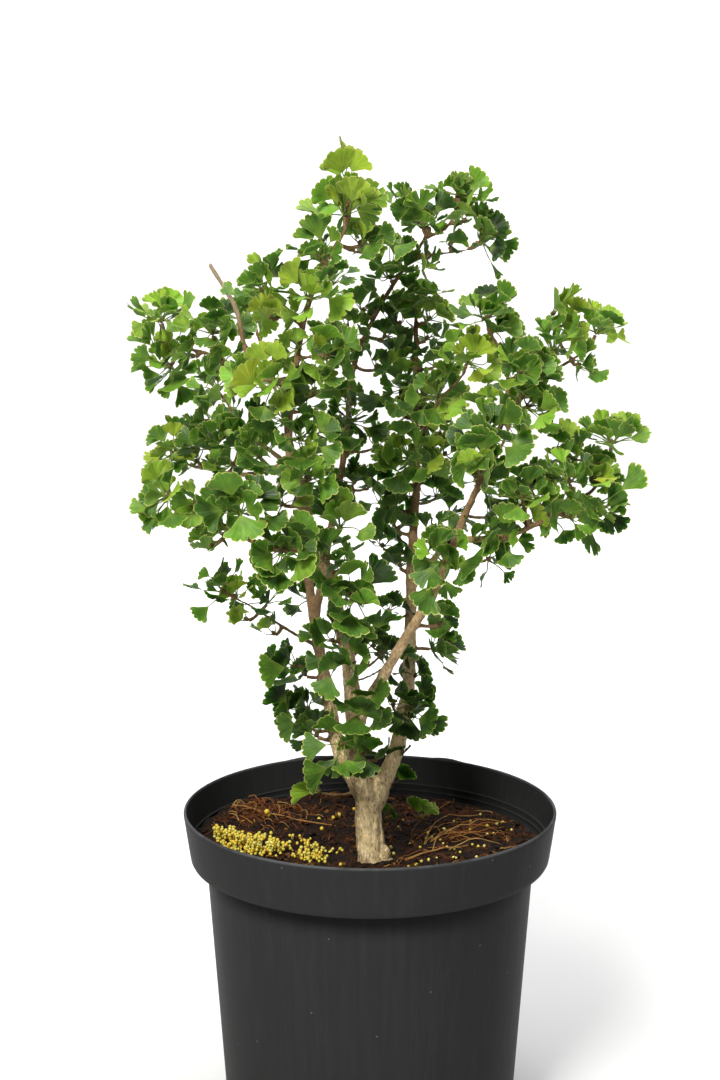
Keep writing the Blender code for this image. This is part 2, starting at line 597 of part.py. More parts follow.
def make_tuft(number, row, around, leaf_material):
    name, stem_name, place, direction, spur_length, count, width = row
    chance = random.Random(100 + number)
    root, bud, axis = bud_place(stem_name, place, direction, spur_length)
    bm = bmesh.new()
    half_step = math.pi / bud_sides
    low = ring_of(bm, bud, axis, bud_radius, bud_sides)
    high = ring_of(bm, bud + axis * bud_height, axis, bud_radius, bud_sides, half_step)
    tip = bm.verts.new(bud + axis * (bud_height + bud_tip))
    seats = []
    for index in range(bud_sides):
        after = (index + 1) % bud_sides
        seats.append((low[index], low[after], high[index]))
        seats.append((low[after], high[after], high[index]))
        bm.faces.new((high[index], high[after], tip))
    bm.faces.new(low)
    centres = [sum((vertex.co for vertex in seat), Vector()) / 3 for seat in seats]
    beside = Obstacles()
    taken = {}
    wanted = [leaf for leaf in placed_leaves if leaf[0] == name]
    for owner, spot, pointing, leaf_width in wanted:
        free = [index for index in range(len(seats)) if index not in taken]
        index = min(free, key=lambda seat: (centres[seat] - Vector(spot) * mm).length)
        taken[index] = fixed_leaf(centres[index], spot, pointing, leaf_width, around, beside)
        if taken[index]:
            beside.add(*taken[index][3])
    order = [0, 4, 8, 2, 6, 1, 5, 9, 3, 7]
    for index in order:
        if index in taken or len(taken) >= count:
            continue
        outward = centres[index] - bud
        taken[index] = find_leaf(chance, centres[index], outward, axis, width, around, beside)
        if taken[index]:
            beside.add(*taken[index][3])
    for index, seat in enumerate(seats):
        leaf = taken.get(index)
        if leaf:
            grow_leaf(bm, seat, leaf)
        else:
            bm.faces.new(seat)
    bmesh.ops.triangulate(bm, faces=[face for face in bm.faces if len(face.verts) == 4])
    piece = make_object("leaves_" + name, bm, leaf_material)
    around.add_object(piece)
    return piece


clear_scene()
pot = make_pot()
soil = make_soil()
prills = make_prills()
twigs = []
for name, (start, end, radius, bow) in fallen_twigs.items():
    twigs.append(make_fallen_twig(name, Vector(start), Vector(end), radius, bow))
wood, wood_parts = make_wood()

leaf_green = make_material("leaf_green", (0.10, 0.24, 0.04), 0.5)
everything = Obstacles()
for solid in [pot, soil, prills] + twigs + wood_parts:
    everything.add_object(solid)
for number, row in enumerate(tufts):
    make_tuft(number, row, everything, leaf_green)
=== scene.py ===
# Dwarf ginkgo shrub in a round nursery pot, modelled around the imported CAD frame.
# Lengths are in metres, or in millimetres where mm stands beside them. The front is -Y and up is +Z.

import math
import random

import bmesh
import bpy
import numpy as np
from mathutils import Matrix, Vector, kdtree, noise


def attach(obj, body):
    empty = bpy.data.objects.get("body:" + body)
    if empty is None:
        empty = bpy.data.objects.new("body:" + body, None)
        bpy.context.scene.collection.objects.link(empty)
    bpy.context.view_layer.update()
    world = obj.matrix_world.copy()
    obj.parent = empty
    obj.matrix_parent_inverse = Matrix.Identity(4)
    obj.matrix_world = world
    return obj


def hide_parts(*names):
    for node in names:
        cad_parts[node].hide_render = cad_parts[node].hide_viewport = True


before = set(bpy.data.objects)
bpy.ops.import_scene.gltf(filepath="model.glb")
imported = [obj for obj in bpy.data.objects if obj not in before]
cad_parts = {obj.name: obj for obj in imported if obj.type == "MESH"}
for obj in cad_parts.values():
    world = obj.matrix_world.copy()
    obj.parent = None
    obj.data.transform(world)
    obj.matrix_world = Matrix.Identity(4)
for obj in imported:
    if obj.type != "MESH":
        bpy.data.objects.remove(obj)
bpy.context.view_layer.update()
mm = 0.001
up = Vector((0.0, 0.0, 1.0))


# Handling of objects

def deselectAll():
    if bpy.context.object and bpy.context.object.mode != "OBJECT":
        bpy.ops.object.mode_set(mode="OBJECT")
    bpy.ops.object.select_all(action="DESELECT")


def pick(piece):
    deselectAll()
    piece.select_set(True)
    bpy.context.view_layer.objects.active = piece


def startEdit(piece, mode="VERT"):
    pick(piece)
    bpy.ops.object.mode_set(mode="EDIT")
    bpy.ops.mesh.select_mode(type=mode)
    bpy.ops.mesh.select_all(action="SELECT")


def endEdit():
    bpy.ops.object.mode_set(mode="OBJECT")


def extrudeUp(height):
    bpy.ops.mesh.extrude_region_move(TRANSFORM_OT_translate={"value": (0.0, 0.0, height)})


def endEditOutward():
    # every normal points outwards
    bpy.ops.mesh.select_all(action="SELECT")
    bpy.ops.mesh.normals_make_consistent(inside=False)
    endEdit()


def addShape(operator, **settings):
    deselectAll()
    operator(**settings)
    return bpy.context.object


def applyModifiers(piece):
    pick(piece)
    for modifier in list(piece.modifiers):
        bpy.ops.object.modifier_apply(modifier=modifier.name)


def settle(piece):
    # the place goes into the mesh, and the object stays at the origin
    pick(piece)
    bpy.ops.object.transform_apply(location=True, rotation=True, scale=True)


def joinPieces(pieces, name):
    deselectAll()
    for piece in pieces:
        piece.select_set(True)
    bpy.context.view_layer.objects.active = pieces[0]
    if len(pieces) > 1:
        bpy.ops.object.join()
    joined = bpy.context.object
    joined.name = name
    joined.data.name = name
    return joined


def placesOf(piece):
    places = np.empty(len(piece.data.vertices) * 3)
    piece.data.vertices.foreach_get("co", places)
    return places.reshape(-1, 3)


def setPlaces(piece, places):
    piece.data.vertices.foreach_set("co", np.ascontiguousarray(places, dtype=np.float64).ravel())
    piece.data.update()


def copyAs(template, places):
    # a copy with a mesh of its own
    copy = template.copy()
    copy.data = template.data.copy()
    bpy.context.scene.collection.objects.link(copy)
    setPlaces(copy, places)
    return copy


def paint(piece, layerName, values, domain="POINT"):
    layer = piece.data.attributes.get(layerName)
    if layer is None:
        layer = piece.data.attributes.new(layerName, "FLOAT", domain)
    values = np.broadcast_to(np.asarray(values, np.float32), (len(layer.data),))
    layer.data.foreach_set("value", values.copy())


def smoothShade(piece, degrees):
    pick(piece)
    bpy.ops.object.shade_smooth_by_angle(angle=math.radians(degrees))


def finishPiece(piece, material, slotName, *nodes):
    piece.data.materials.clear()
    piece.data.materials.append(material)
    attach(piece, "root")
    if nodes:
        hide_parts(*nodes)


# Handling of shader nodes

def addNode(tree, kind, **settings):
    node = tree.nodes.new(kind)
    for key, value in settings.items():
        setattr(node, key, value)
    return node


def treeOf(*values):
    # the node tree that the sockets among the values belong to
    return next(value.id_data for value in values if isinstance(value, bpy.types.NodeSocket))


def feed(value, socket):
    if isinstance(value, bpy.types.NodeSocket):
        socket.id_data.links.new(value, socket)
    else:
        socket.default_value = value


def calc(operation, first, second=0.0):
    node = addNode(treeOf(first, second), "ShaderNodeMath", operation=operation)
    feed(first, node.inputs[0])
    feed(second, node.inputs[1])
    return node.outputs[0]


def times(first, second):
    return calc("MULTIPLY", first, second)


def plus(first, second):
    return calc("ADD", first, second)


def ramp(value, low, high, fromMin=0.0, fromMax=1.0):
    # a smooth step from low to high while the value runs from fromMin to fromMax
    node = addNode(treeOf(value), "ShaderNodeMapRange", interpolation_type="SMOOTHSTEP", clamp=True)
    feed(value, node.inputs["Value"])
    for name, number in (("From Min", fromMin), ("From Max", fromMax), ("To Min", low), ("To Max", high)):
        node.inputs[name].default_value = number
    return node.outputs["Result"]


def mixColours(share, first, second):
    node = addNode(treeOf(share, first, second), "ShaderNodeMix", data_type="RGBA")
    feed(share, node.inputs["Factor"])
    for value, name in ((first, "A"), (second, "B")):
        feed((*value, 1.0) if isinstance(value, tuple) else value, node.inputs[name])
    return node.outputs["Result"]


def layered(colour, *layers):
    # each layer is its share and the colour that it brings
    for share, other in layers:
        colour = mixColours(share, colour, other)
    return colour


def shaded(colour, share):
    return tuple(share * part for part in colour)


def colourSteps(value, steps):
    node = addNode(treeOf(value), "ShaderNodeValToRGB")
    feed(value, node.inputs["Fac"])
    points = node.color_ramp.elements
    while len(points) < len(steps):
        points.new(0.5)
    for point, (place, colour) in zip(points, steps):
        point.position = place
        point.color = (*colour, 1.0)
    return node.outputs["Color"]


def noiseOf(place, scale, detail=3.0, roughness=0.55):
    node = addNode(treeOf(place), "ShaderNodeTexNoise")
    feed(place, node.inputs["Vector"])
    for name, number in (("Scale", scale), ("Detail", detail), ("Roughness", roughness)):
        node.inputs[name].default_value = number
    return node.outputs["Fac"]


def upwardNoise(place, squeeze, scale, detail, roughness=0.55):
    # noise drawn out along the height, or pressed together where squeeze is over 1
    node = addNode(treeOf(place), "ShaderNodeMapping")
    feed(place, node.inputs["Vector"])
    node.inputs["Scale"].default_value = (1.0, 1.0, squeeze)
    return noiseOf(node.outputs["Vector"], scale, detail, roughness)


def cellsOf(place, scale):
    node = addNode(treeOf(place), "ShaderNodeTexVoronoi", feature="F1")
    feed(place, node.inputs["Vector"])
    node.inputs["Scale"].default_value = scale
    return node.outputs["Distance"]


def layerOf(place, layerName):
    # a painted layer, in the node tree of place
    return addNode(treeOf(place), "ShaderNodeAttribute", attribute_name=layerName).outputs["Fac"]


def partsOf(place):
    node = addNode(treeOf(place), "ShaderNodeSeparateXYZ")
    feed(place, node.inputs[0])
    return node.outputs["X"], node.outputs["Y"], node.outputs["Z"]


def coat(shader, colour, rough, gloss=None):
    # gloss is a plain number, because a linked one would be lost in the export
    feed(colour, shader.inputs["Base Color"])
    feed(rough, shader.inputs["Roughness"])
    if gloss is not None:
        shader.inputs["Specular IOR Level"].default_value = gloss


def bumped(shader, height, strength, distance):
    node = addNode(shader.id_data, "ShaderNodeBump")
    node.inputs["Strength"].default_value = strength
    node.inputs["Distance"].default_value = distance
    feed(height, node.inputs["Height"])
    feed(node.outputs["Normal"], shader.inputs["Normal"])


def newMaterial(name):
    # the material, its shader and the place on the object, which its textures read
    material = bpy.data.materials.new(name)
    material.use_nodes = True
    tree = material.node_tree
    return material, tree.nodes["Principled BSDF"], addNode(tree, "ShaderNodeTexCoord").outputs["Object"]


# Streaks, flecks and clouds that the bark, the litter, the soil and the pot share

def makeGrainGroup():
    group = bpy.data.node_groups.new("grainAndFlecks", "ShaderNodeTree")
    group.interface.new_socket("Place", in_out="INPUT", socket_type="NodeSocketVector")
    for name in ("Streaks", "Flecks", "Clouds"):
        group.interface.new_socket(name, in_out="OUTPUT", socket_type="NodeSocketFloat")
    inside = addNode(group, "NodeGroupInput").outputs["Place"]
    outside = addNode(group, "NodeGroupOutput")
    streaks = upwardNoise(inside, 0.16, 900.0, 4.0, 0.6)
    spots = noiseOf(inside, 1300.0, 2.0, 0.5)
    feed(ramp(streaks, 0.0, 1.0, 0.3, 0.7), outside.inputs["Streaks"])
    feed(ramp(spots, 0.0, 1.0, 0.6, 0.7), outside.inputs["Flecks"])
    feed(ramp(noiseOf(inside, 95.0), 0.0, 1.0, 0.32, 0.68), outside.inputs["Clouds"])
    return group


grainGroup = makeGrainGroup()


def grainOf(place):
    node = addNode(treeOf(place), "ShaderNodeGroup", node_tree=grainGroup)
    feed(place, node.inputs["Place"])
    return node.outputs["Streaks"], node.outputs["Flecks"], node.outputs["Clouds"]


# Camera, floor and light

stageLook = {
    "cameraPlace": (-0.0062, -0.903, 0.4865),
    "cameraDown": 7.6,
    "lens": 50.0,
    "sensorWidth": 36.0,
    "floorSize": 8.0,
    "floorFront": -3.0,
    "wallHeight": 4.0,
    "floorColour": (0.80, 0.80, 0.805),
    "worldColour": (1.0, 1.0, 1.0),
    "worldStrength": 0.09,      # as light on the plant
    "seenStrength": 0.85,       # as the camera sees it
    "lights": (
        # name, place, aim, size, power, colour
        ("keyLight", (-0.75, -1.45, 1.75), (0.0, 0.0, 0.38), 0.7, 60.0, (1.0, 0.985, 0.94)),
        ("fillLight", (1.5, -1.3, 1.0), (0.0, 0.0, 0.3), 1.0, 7.0, (0.95, 0.98, 1.0)),
        ("topLight", (0.1, 0.2, 2.0), (0.0, 0.0, 0.3), 1.0, 23.0, (1.0, 1.0, 0.98)),
        ("backdropLight", (0.0, 1.9, 2.9), (0.0, 5.0, 0.6), 3.0, 235.0, (1.0, 1.0, 1.0)),
    ),
}


def putInScene(data, place, turn):
    item = bpy.data.objects.new(data.name, data)
    item.location = place
    item.rotation_euler = turn
    bpy.context.scene.collection.objects.link(item)
    return item


def makeStage():
    cameraData = bpy.data.cameras.new("camera")
    cameraData.lens = stageLook["lens"]
    cameraData.sensor_width = stageLook["sensorWidth"]
    cameraData.sensor_fit = "AUTO"
    turn = (math.radians(90.0 - stageLook["cameraDown"]), 0.0, 0.0)
    bpy.context.scene.camera = putInScene(cameraData, stageLook["cameraPlace"], turn)

    for name, place, aim, size, power, colour in stageLook["lights"]:
        lightData = bpy.data.lights.new(name, "AREA")
        lightData.size = size
        lightData.energy = power
        lightData.color = colour
        putInScene(lightData, place, (Vector(aim) - Vector(place)).to_track_quat("-Z", "Y").to_euler())

    # the plant gets a dim light from all round, and the studio behind it looks pale from every side
    world = bpy.data.worlds.new("studio")
    world.use_nodes = True
    tree = world.node_tree
    dim = tree.nodes["Background"]
    pale = addNode(tree, "ShaderNodeBackground")
    for background, strength in ((dim, stageLook["worldStrength"]), (pale, stageLook["seenStrength"])):
        background.inputs["Color"].default_value = (*stageLook["worldColour"], 1.0)
        background.inputs["Strength"].default_value = strength
    blend = addNode(tree, "ShaderNodeMixShader")
    feed(addNode(tree, "ShaderNodeLightPath").outputs["Is Camera Ray"], blend.inputs[0])
    feed(dim.outputs[0], blend.inputs[1])
    feed(pale.outputs[0], blend.inputs[2])
    feed(blend.outputs[0], tree.nodes["World Output"].inputs["Surface"])
    bpy.context.scene.world = world
    bpy.context.scene.view_settings.view_transform = "Standard"

    size = stageLook["floorSize"]
    floor = addShape(bpy.ops.mesh.primitive_plane_add, size=size,
                     location=(0.0, size * 0.5 + stageLook["floorFront"], 0.0))
    floor.name = "floor"
    startEdit(floor, "EDGE")
    bpy.ops.mesh.select_all(action="DESELECT")
    endEdit()
    for edge in floor.data.edges:
        edge.select = all(floor.data.vertices[index].co.y > 0.0 for index in edge.vertices)
    bpy.ops.object.mode_set(mode="EDIT")
    extrudeUp(stageLook["wallHeight"])
    endEdit()
    settle(floor)
    material, shader, place = newMaterial("paleFloor")
    shade = noiseOf(place, 6.0)
    pale = stageLook["floorColour"]
    coat(shader, mixColours(shade, pale, shaded(pale, 0.97)), 0.75)
    floor.data.materials.append(material)


makeStage()
print("stage ready")


# The pot: its profile is (radius, height) in mm, up the outside, over the rim and down the inside

potLook = {
    "sides": 144,
    "profile": (
        (84.0, 0.0), (86.5, 0.0), (88.4, 0.8), (89.4, 2.4), (89.9, 6.0), (95.5, 86.0), (101.3, 167.4),
        (101.6, 169.0), (102.4, 169.4), (109.0, 169.3), (110.3, 169.7), (110.9, 170.8), (111.3, 173.0),
        (113.0, 184.5), (114.5, 195.2), (114.9, 197.6), (115.0, 198.8), (114.8, 199.6), (114.3, 200.0),
        (113.7, 200.0), (113.3, 199.6), (113.1, 198.6), (112.6, 195.0), (110.6, 181.6),
        # two fine ridges on the inside
        (109.7, 181.0), (110.2, 179.6), (109.9, 177.4), (109.1, 176.8), (109.6, 175.4), (109.4, 173.4),
        (108.6, 171.6), (107.4, 170.9), (100.0, 170.8), (99.6, 170.2), (99.3, 168.0), (93.6, 86.0),
        (87.8, 5.0), (84.0, 3.0),
    ),
    "rimTabs": ((62.0, 6.0, 1.0), (112.0, 8.0, 0.9)),   # degrees round from +X, width in degrees, height in mm
    "outOfRound": 0.0022,
    "lineAndSheenShare": 0.2,       # how clearly the moulded streaks and their bands of painted sheen show
    "rimWear": 0.75,
    "gloss": 0.05,
    "ior": 1.30,
    "black": (0.0235, 0.0245, 0.0245),
    # the colour of real wear, and of the painted sheen in the moulded streaks
    "wornAndSheen": (0.044, 0.046, 0.047),
    "dust": (0.10, 0.09, 0.075),
}


def makePotMaterial():
    material, shader, place = newMaterial("blackPlastic")
    streaks, _, clouds = grainOf(place)
    _, _, height = partsOf(place)
    mouldingAndSheen = upwardNoise(place, 0.05, 70.0, 5.0, 0.6)
    rubbed = upwardNoise(place, 0.3, 42.0, 4.0, 0.65)
    rim = ramp(height, 0.0, 1.0, 198.4 * mm, 199.8 * mm)
    wear = times(times(rim, ramp(rubbed, 0.35, 1.0, 0.35, 0.6)), potLook["rimWear"])
    fine = upwardNoise(place, 0.02, 230.0, 4.0, 0.7)
    # pale moulded streaks that show in broad bands, which are painted sheen
    linesAndSheen = times(ramp(fine, 0.0, 1.0, 0.38, 0.66), ramp(mouldingAndSheen, 0.25, 1.0, 0.35, 0.62))
    linesAndSheen = times(linesAndSheen, potLook["lineAndSheenShare"])
    # painted shade: darker in the corner under the lip
    corner = ramp(height, 0.0, 0.7, 150 * mm, 166 * mm)
    corner = times(corner, ramp(height, 1.0, 0.0, 168 * mm, 171 * mm))
    smudges = times(ramp(rubbed, 0.0, 0.35, 0.56, 0.78), clouds)
    specks = ramp(cellsOf(place, 62.0), 1.0, 0.0, 0.03, 0.05)
    colour = layered(
        mixColours(linesAndSheen, potLook["black"], potLook["wornAndSheen"]),
        (corner, shaded(potLook["black"], 0.3)),
        (wear, shaded(potLook["wornAndSheen"], 2.2)),
        (smudges, potLook["wornAndSheen"]),
        (times(specks, 0.7), potLook["dust"]),
    )
    rough = plus(0.34, times(fine, 0.22))
    rough = plus(rough, times(smudges, 0.3))
    coat(shader, colour, rough, potLook["gloss"])
    shader.inputs["IOR"].default_value = potLook["ior"]
    bumped(shader, plus(mouldingAndSheen, times(streaks, 0.12)), 0.35, 0.35 * mm)
    return material


def makePot():
    profile = potLook["profile"]
    pot = addShape(bpy.ops.mesh.primitive_circle_add, vertices=potLook["sides"], radius=profile[0][0] * mm,
                   fill_type="NGON")
    startEdit(pot, "FACE")
    for (lastRadius, lastHeight), (radius, height) in zip(profile, profile[1:]):
        extrudeUp((height - lastHeight) * mm)
        share = radius / lastRadius
        bpy.ops.transform.resize(value=(share, share, 1.0), center_override=(0.0, 0.0, height * mm))
    endEditOutward()
    pot.name = "pot"
    places = placesOf(pot)
    angles = np.degrees(np.arctan2(places[:, 1], places[:, 0]))
    top = np.clip((places[:, 2] / mm - 196.0) / 3.0, 0.0, 1.0)
    for middle, width, lift in potLook["rimTabs"]:
        places[:, 2] += top * lift * mm * np.clip(1.5 - np.abs(angles - middle) / width * 1.5, 0.0, 1.0)
    # a moulded pot is never quite round
    oval = potLook["outOfRound"] * np.sin(np.radians(angles) * 2.0 + 0.6)
    swell = 1.0 + oval * np.clip(places[:, 2] / 0.2, 0.0, 1.0)
    places[:, :2] *= swell[:, None]
    setPlaces(pot, places)
    smoothShade(pot, 40.0)
    finishPiece(pot, makePotMaterial(), "pot_plastic", "nursery_pot")


makePot()
print("pot ready")


# The soil and what lies on it

soilLook = {
    "cells": 190,
    "radius": 107.0,
    "centre": 165.0,
    "edge": 174.0,
    "leftMound": 7.5,
    "backMound": 5.0,
    "moundPlace": (-72.0, 58.0),
    "moundSize": (30.0, 24.0),
    "clods": ((1.0, 2.2), (3.1, 1.3), (8.3, 0.8)),     # how fine and how high
    "rim": 110.5,
    "wallSlope": 0.0017,
    "plug": ((98.2, 170.6), (97.6, 160.0), (86.5, 8.0), (83.0, 3.2)),   # radius and height under the ledge
    "gloss": 0.2,
    "peat": (0.0085, 0.0033, 0.0013),
    "rust": (0.098, 0.031, 0.004),
    "pale": (0.27, 0.14, 0.035),
}


def soilHeight(x, y):
    # millimetres in and out
    radius = math.hypot(x, y)
    leftness = max(0.0, -x / radius) if radius > 0.0 else 0.0
    edge = soilLook["edge"] + soilLook["leftMound"] * leftness ** 2
    level = soilLook["centre"] + (edge - soilLook["centre"]) * (radius / soilLook["rim"]) ** 2
    (middleX, middleY), (width, depth) = soilLook["moundPlace"], soilLook["moundSize"]
    heap = math.exp(-((x - middleX) / width) ** 2 - ((y - middleY) / depth) ** 2)
    return level + soilLook["backMound"] * heap


def clodHeight(x, y):
    # soil level with its clods, in mm
    place = Vector((x * 0.055, y * 0.055, 3.1))
    lumps = 0.0
    for scale, height in soilLook["clods"]:
        lumps += noise.noise(place * scale) * height
    return soilHeight(x, y) + lumps


def makeSoilMaterial():
    material, shader, place = newMaterial("peatMix")
    _, flecks, _ = grainOf(place)
    crumbs = cellsOf(place, 480.0)
    patches = noiseOf(place, 60.0, 4.0, 0.6)
    chips = ramp(noiseOf(place, 640.0, 1.0), 0.0, 0.55, 0.72, 0.78)
    colour = layered(
        mixColours(ramp(patches, 0.0, 0.85, 0.42, 0.7), soilLook["peat"], soilLook["rust"]),
        (ramp(crumbs, 0.0, 0.7, 0.25, 0.75), shaded(soilLook["peat"], 0.35)),
        (times(flecks, 0.55), soilLook["rust"]),
        (chips, soilLook["pale"]),
    )
    coat(shader, colour, ramp(patches, 0.62, 0.95), soilLook["gloss"])
    relief = plus(times(crumbs, -0.8), noiseOf(place, 900.0, 4.0, 0.7))
    bumped(shader, relief, 0.9, 1.2 * mm)
    return material


def makeSoil():
    cells = soilLook["cells"]
    soil = addShape(bpy.ops.mesh.primitive_grid_add, x_subdivisions=cells, y_subdivisions=cells, size=2.0)
    places = placesOf(soil)
    x, y = places[:, 0].copy(), places[:, 1].copy()
    places[:, 0] = x * np.sqrt(1.0 - y * y / 2.0) * soilLook["radius"]
    places[:, 1] = y * np.sqrt(1.0 - x * x / 2.0) * soilLook["radius"]
    outward = np.hypot(places[:, 0], places[:, 1]) / soilLook["radius"]
    for index, (px, py, _) in enumerate(places):
        level = clodHeight(px, py) + noise.noise(Vector((px, py, 7.0)) * 0.9) * 0.8
        places[index, 2] = level + (1.2 if outward[index] < 0.985 else 0.0)
    # the pot widens upwards, and the soil follows its wall
    above = np.clip(places[:, 2] - 172.0, 0.0, 20.0)
    nearWall = np.clip(outward * 8.0 - 7.0, 0.0, 1.0)
    places[:, :2] *= (1.0 + above * soilLook["wallSlope"] * nearWall)[:, None]
    setPlaces(soil, places * mm)
    startEdit(soil, "EDGE")
    bpy.ops.mesh.select_all(action="DESELECT")
    bpy.ops.mesh.select_non_manifold()
    lastRadius = soilLook["radius"]
    for radius, height in soilLook["plug"]:
        bpy.ops.mesh.extrude_region_move()
        share = radius / lastRadius
        bpy.ops.transform.resize(value=(share, share, 0.0), center_override=(0.0, 0.0, height * mm))
        lastRadius = radius
    bpy.ops.mesh.edge_face_add()
    endEditOutward()
    soil.name = "soil"
    smoothShade(soil, 60.0)
    finishPiece(soil, makeSoilMaterial(), "potting_mix", "potting_soil")


makeSoil()
print("soil ready")


def bentTube(template, points, radii):
    # the template is an upright tube of radius 1 and height 1. It is bent along the points
    flat = placesOf(template)
    points = [Vector(point) for point in points]
    last = len(points) - 1
    shares = np.clip(flat[:, 2] * last, 0.0, last - 1e-6)
    low = shares.astype(int)
    part = (shares - low)[:, None]
    centres = np.array(points)
    spine = centres[low] * (1.0 - part) + centres[low + 1] * part
    sides, fronts = [], []
    side = None
    for index in range(last + 1):
        ahead = (points[min(index + 1, last)] - points[max(index - 1, 0)]).normalized()
        if side is None:
            side = ahead.orthogonal().normalized()
        side = (side - ahead * side.dot(ahead)).normalized()
        sides.append(side)
        fronts.append(ahead.cross(side))
    sides, fronts = np.array(sides), np.array(fronts)
    sideAt = sides[low] * (1.0 - part) + sides[low + 1] * part
    frontAt = fronts[low] * (1.0 - part) + fronts[low + 1] * part
    radii = np.array(radii)
    radius = radii[low] * (1.0 - part[:, 0]) + radii[low + 1] * part[:, 0]
    places = spine + sideAt * (flat[:, 0] * radius)[:, None] + frontAt * (flat[:, 1] * radius)[:, None]
    return copyAs(template, places)


def makeTubeTemplate(sides, rows):
    # an upright tube of radius 1 and height 1, closed at both ends
    tube = addShape(bpy.ops.mesh.primitive_circle_add, vertices=sides, radius=1.0, fill_type="NGON")
    startEdit(tube, "FACE")
    for _ in range(rows):
        extrudeUp(1.0 / rows)
    endEditOutward()
    smoothShade(tube, 60.0)
    paint(tube, "tone", 0.5)
    return tube


def arcPoints(start, end, bow, count):
    start, end = Vector(start), Vector(end)
    across = (end - start).cross(up).normalized()
    points = []
    for step in range(count):
        share = step / (count - 1)
        points.append(start.lerp(end, share) + across * bow * math.sin(math.pi * share))
    return points


# counts, colours, and ranges in mm
litterLook = {
    "prillRadius": (0.85, 1.22),
    "prillSqueeze": (0.88, 1.1),
    # centre x and y, half length, half width, turn in degrees and how many grains
    "prillGroups": (
        (-76.0, -6.0, 21.0, 10.5, -10.0, 360), (-52.0, -3.0, 9.0, 6.0, -20.0, 26),
        (-36.0, -8.0, 11.0, 7.0, -30.0, 74), (-45.0, 22.0, 8.0, 3.0, 5.0, 14),
        (-22.0, 6.0, 7.0, 5.0, 0.0, 7), (-26.0, -42.0, 16.0, 6.0, 0.0, 9),
    ),
    # single grains, smaller at the right and larger at the left: how many, and ranges of x, y and radius
    "singlePrills": (
        (62, (14.0, 92.0), (-60.0, 62.0), (0.7, 1.25)), (26, (-95.0, 20.0), (-90.0, 80.0), (1.2, 1.7)),
    ),
    "prillColours": ((0.74, 0.50, 0.04), (0.60, 0.55, 0.08), (0.78, 0.71, 0.22)),
    "prillFlecks": (0.32, 0.20, 0.05),
    "chipCount": 1300,
    "chipLength": (0.6, 2.6),
    "longChip": 1.5,
    "longChipShare": 0.05,
    "chipShares": ((0.35, 0.8), (0.15, 0.45)),      # width and thickness, of the length
    "chipGloss": 0.2,
    "fibreGloss": 0.3,
    "fibreCount": 420,
    "fibreLength": (4.0, 15.0),
    "fibreRanges": ((-3.0, 3.0), (0.16, 0.4), (0.2, 3.0)),      # bow, radius and lift
    "moundShare": 0.35,
    "moundSpread": ((-72.0, 18.0), (54.0, 13.0)),
    "strandCount": 12,
    "strandStart": ((30.0, 52.0), (4.0, 34.0)),
    "strandLength": (26.0, 56.0),
    "strandRanges": ((-10.0, 10.0), (0.2, 0.36), (1.5, 8.0), (0.4, 1.0)),      # bow, radius, lift and tone
    "strandPoints": 9,
    "twigGirths": (1.3, 1.1, 1, 1, 0.9, 1, 0.85, 0.8, 0.6),
    "fibreColours": ((0.13, 0.030, 0.004), (0.34, 0.125, 0.020), (0.46, 0.29, 0.09)),
    "chipColours": ((0.007, 0.003, 0.001), (0.062, 0.017, 0.003), (0.24, 0.095, 0.016)),
}


def onSoil(x, y, above):
    return Vector((x, y, clodHeight(x, y) + 1.2 + above)) * mm


def inPot(x, y, margin=4.0):
    nearTrunk = math.hypot(x - 1.0, y + 2.0) < 15.0
    return math.hypot(x, y) < soilLook["radius"] - margin and not nearTrunk


def prillSpots(chance):
    spots = []

    def drop(x, y, radius):
        # a grain comes to rest on the soil or on the grains under it
        if not inPot(x, y, 3.0):
            return
        rest = clodHeight(x, y) + 1.0 + radius * 0.75
        for ox, oy, oz, other in spots:
            flatGap = math.hypot(x - ox, y - oy)
            if flatGap < radius + other:
                rest = max(rest, oz + math.sqrt(max(0.0, (radius + other) ** 2 - flatGap ** 2)) * 0.92)
        if rest < soilHeight(x, y) + 10.0:
            spots.append((x, y, rest, radius))

    for cx, cy, halfLength, halfWidth, turn, count in litterLook["prillGroups"]:
        spin = math.radians(turn)
        for _ in range(count):
            angle, share = chance.uniform(0.0, math.tau), math.sqrt(chance.random())
            dx, dy = math.cos(angle) * halfLength * share, math.sin(angle) * halfWidth * share
            drop(cx + dx * math.cos(spin) - dy * math.sin(spin), cy + dx * math.sin(spin) + dy * math.cos(spin),
                 chance.uniform(*litterLook["prillRadius"]))
    for count, *ranges in litterLook["singlePrills"]:
        for _ in range(count):
            drop(*(chance.uniform(*ends) for ends in ranges))
    return spots


def makePrills(chance):
    grain = addShape(bpy.ops.mesh.primitive_uv_sphere_add, segments=8, ring_count=6, radius=1.0)
    smoothShade(grain, 80.0)
    paint(grain, "tone", 0.5)
    ball = placesOf(grain)
    grains = []
    for x, y, z, radius in prillSpots(chance):
        squeeze = np.array([chance.uniform(*litterLook["prillSqueeze"]) for _ in range(3)])
        copy = copyAs(grain, ball * squeeze * radius * mm + np.array((x, y, z)) * mm)
        # the grains at the right are of all kinds, and the heap is mostly yellow
        paint(copy, "tone", chance.uniform(0.1, 0.9) if x > 12.0 else min(1.0, abs(chance.gauss(0.0, 0.38))))
        grains.append(copy)
    bpy.data.objects.remove(grain)
    material, shader, place = newMaterial("prillCoating")
    first, second, third = litterLook["prillColours"]
    colour = colourSteps(layerOf(place, "tone"), ((0.0, first), (0.5, second), (1.0, third)))
    _, flecks, clouds = grainOf(place)
    colour = mixColours(times(flecks, 0.35), colour, litterLook["prillFlecks"])
    coat(shader, colour, ramp(clouds, 0.3, 0.55))
    finishPiece(joinPieces(grains, "prills"), material, "prill_coating", "fertiliser_prills")


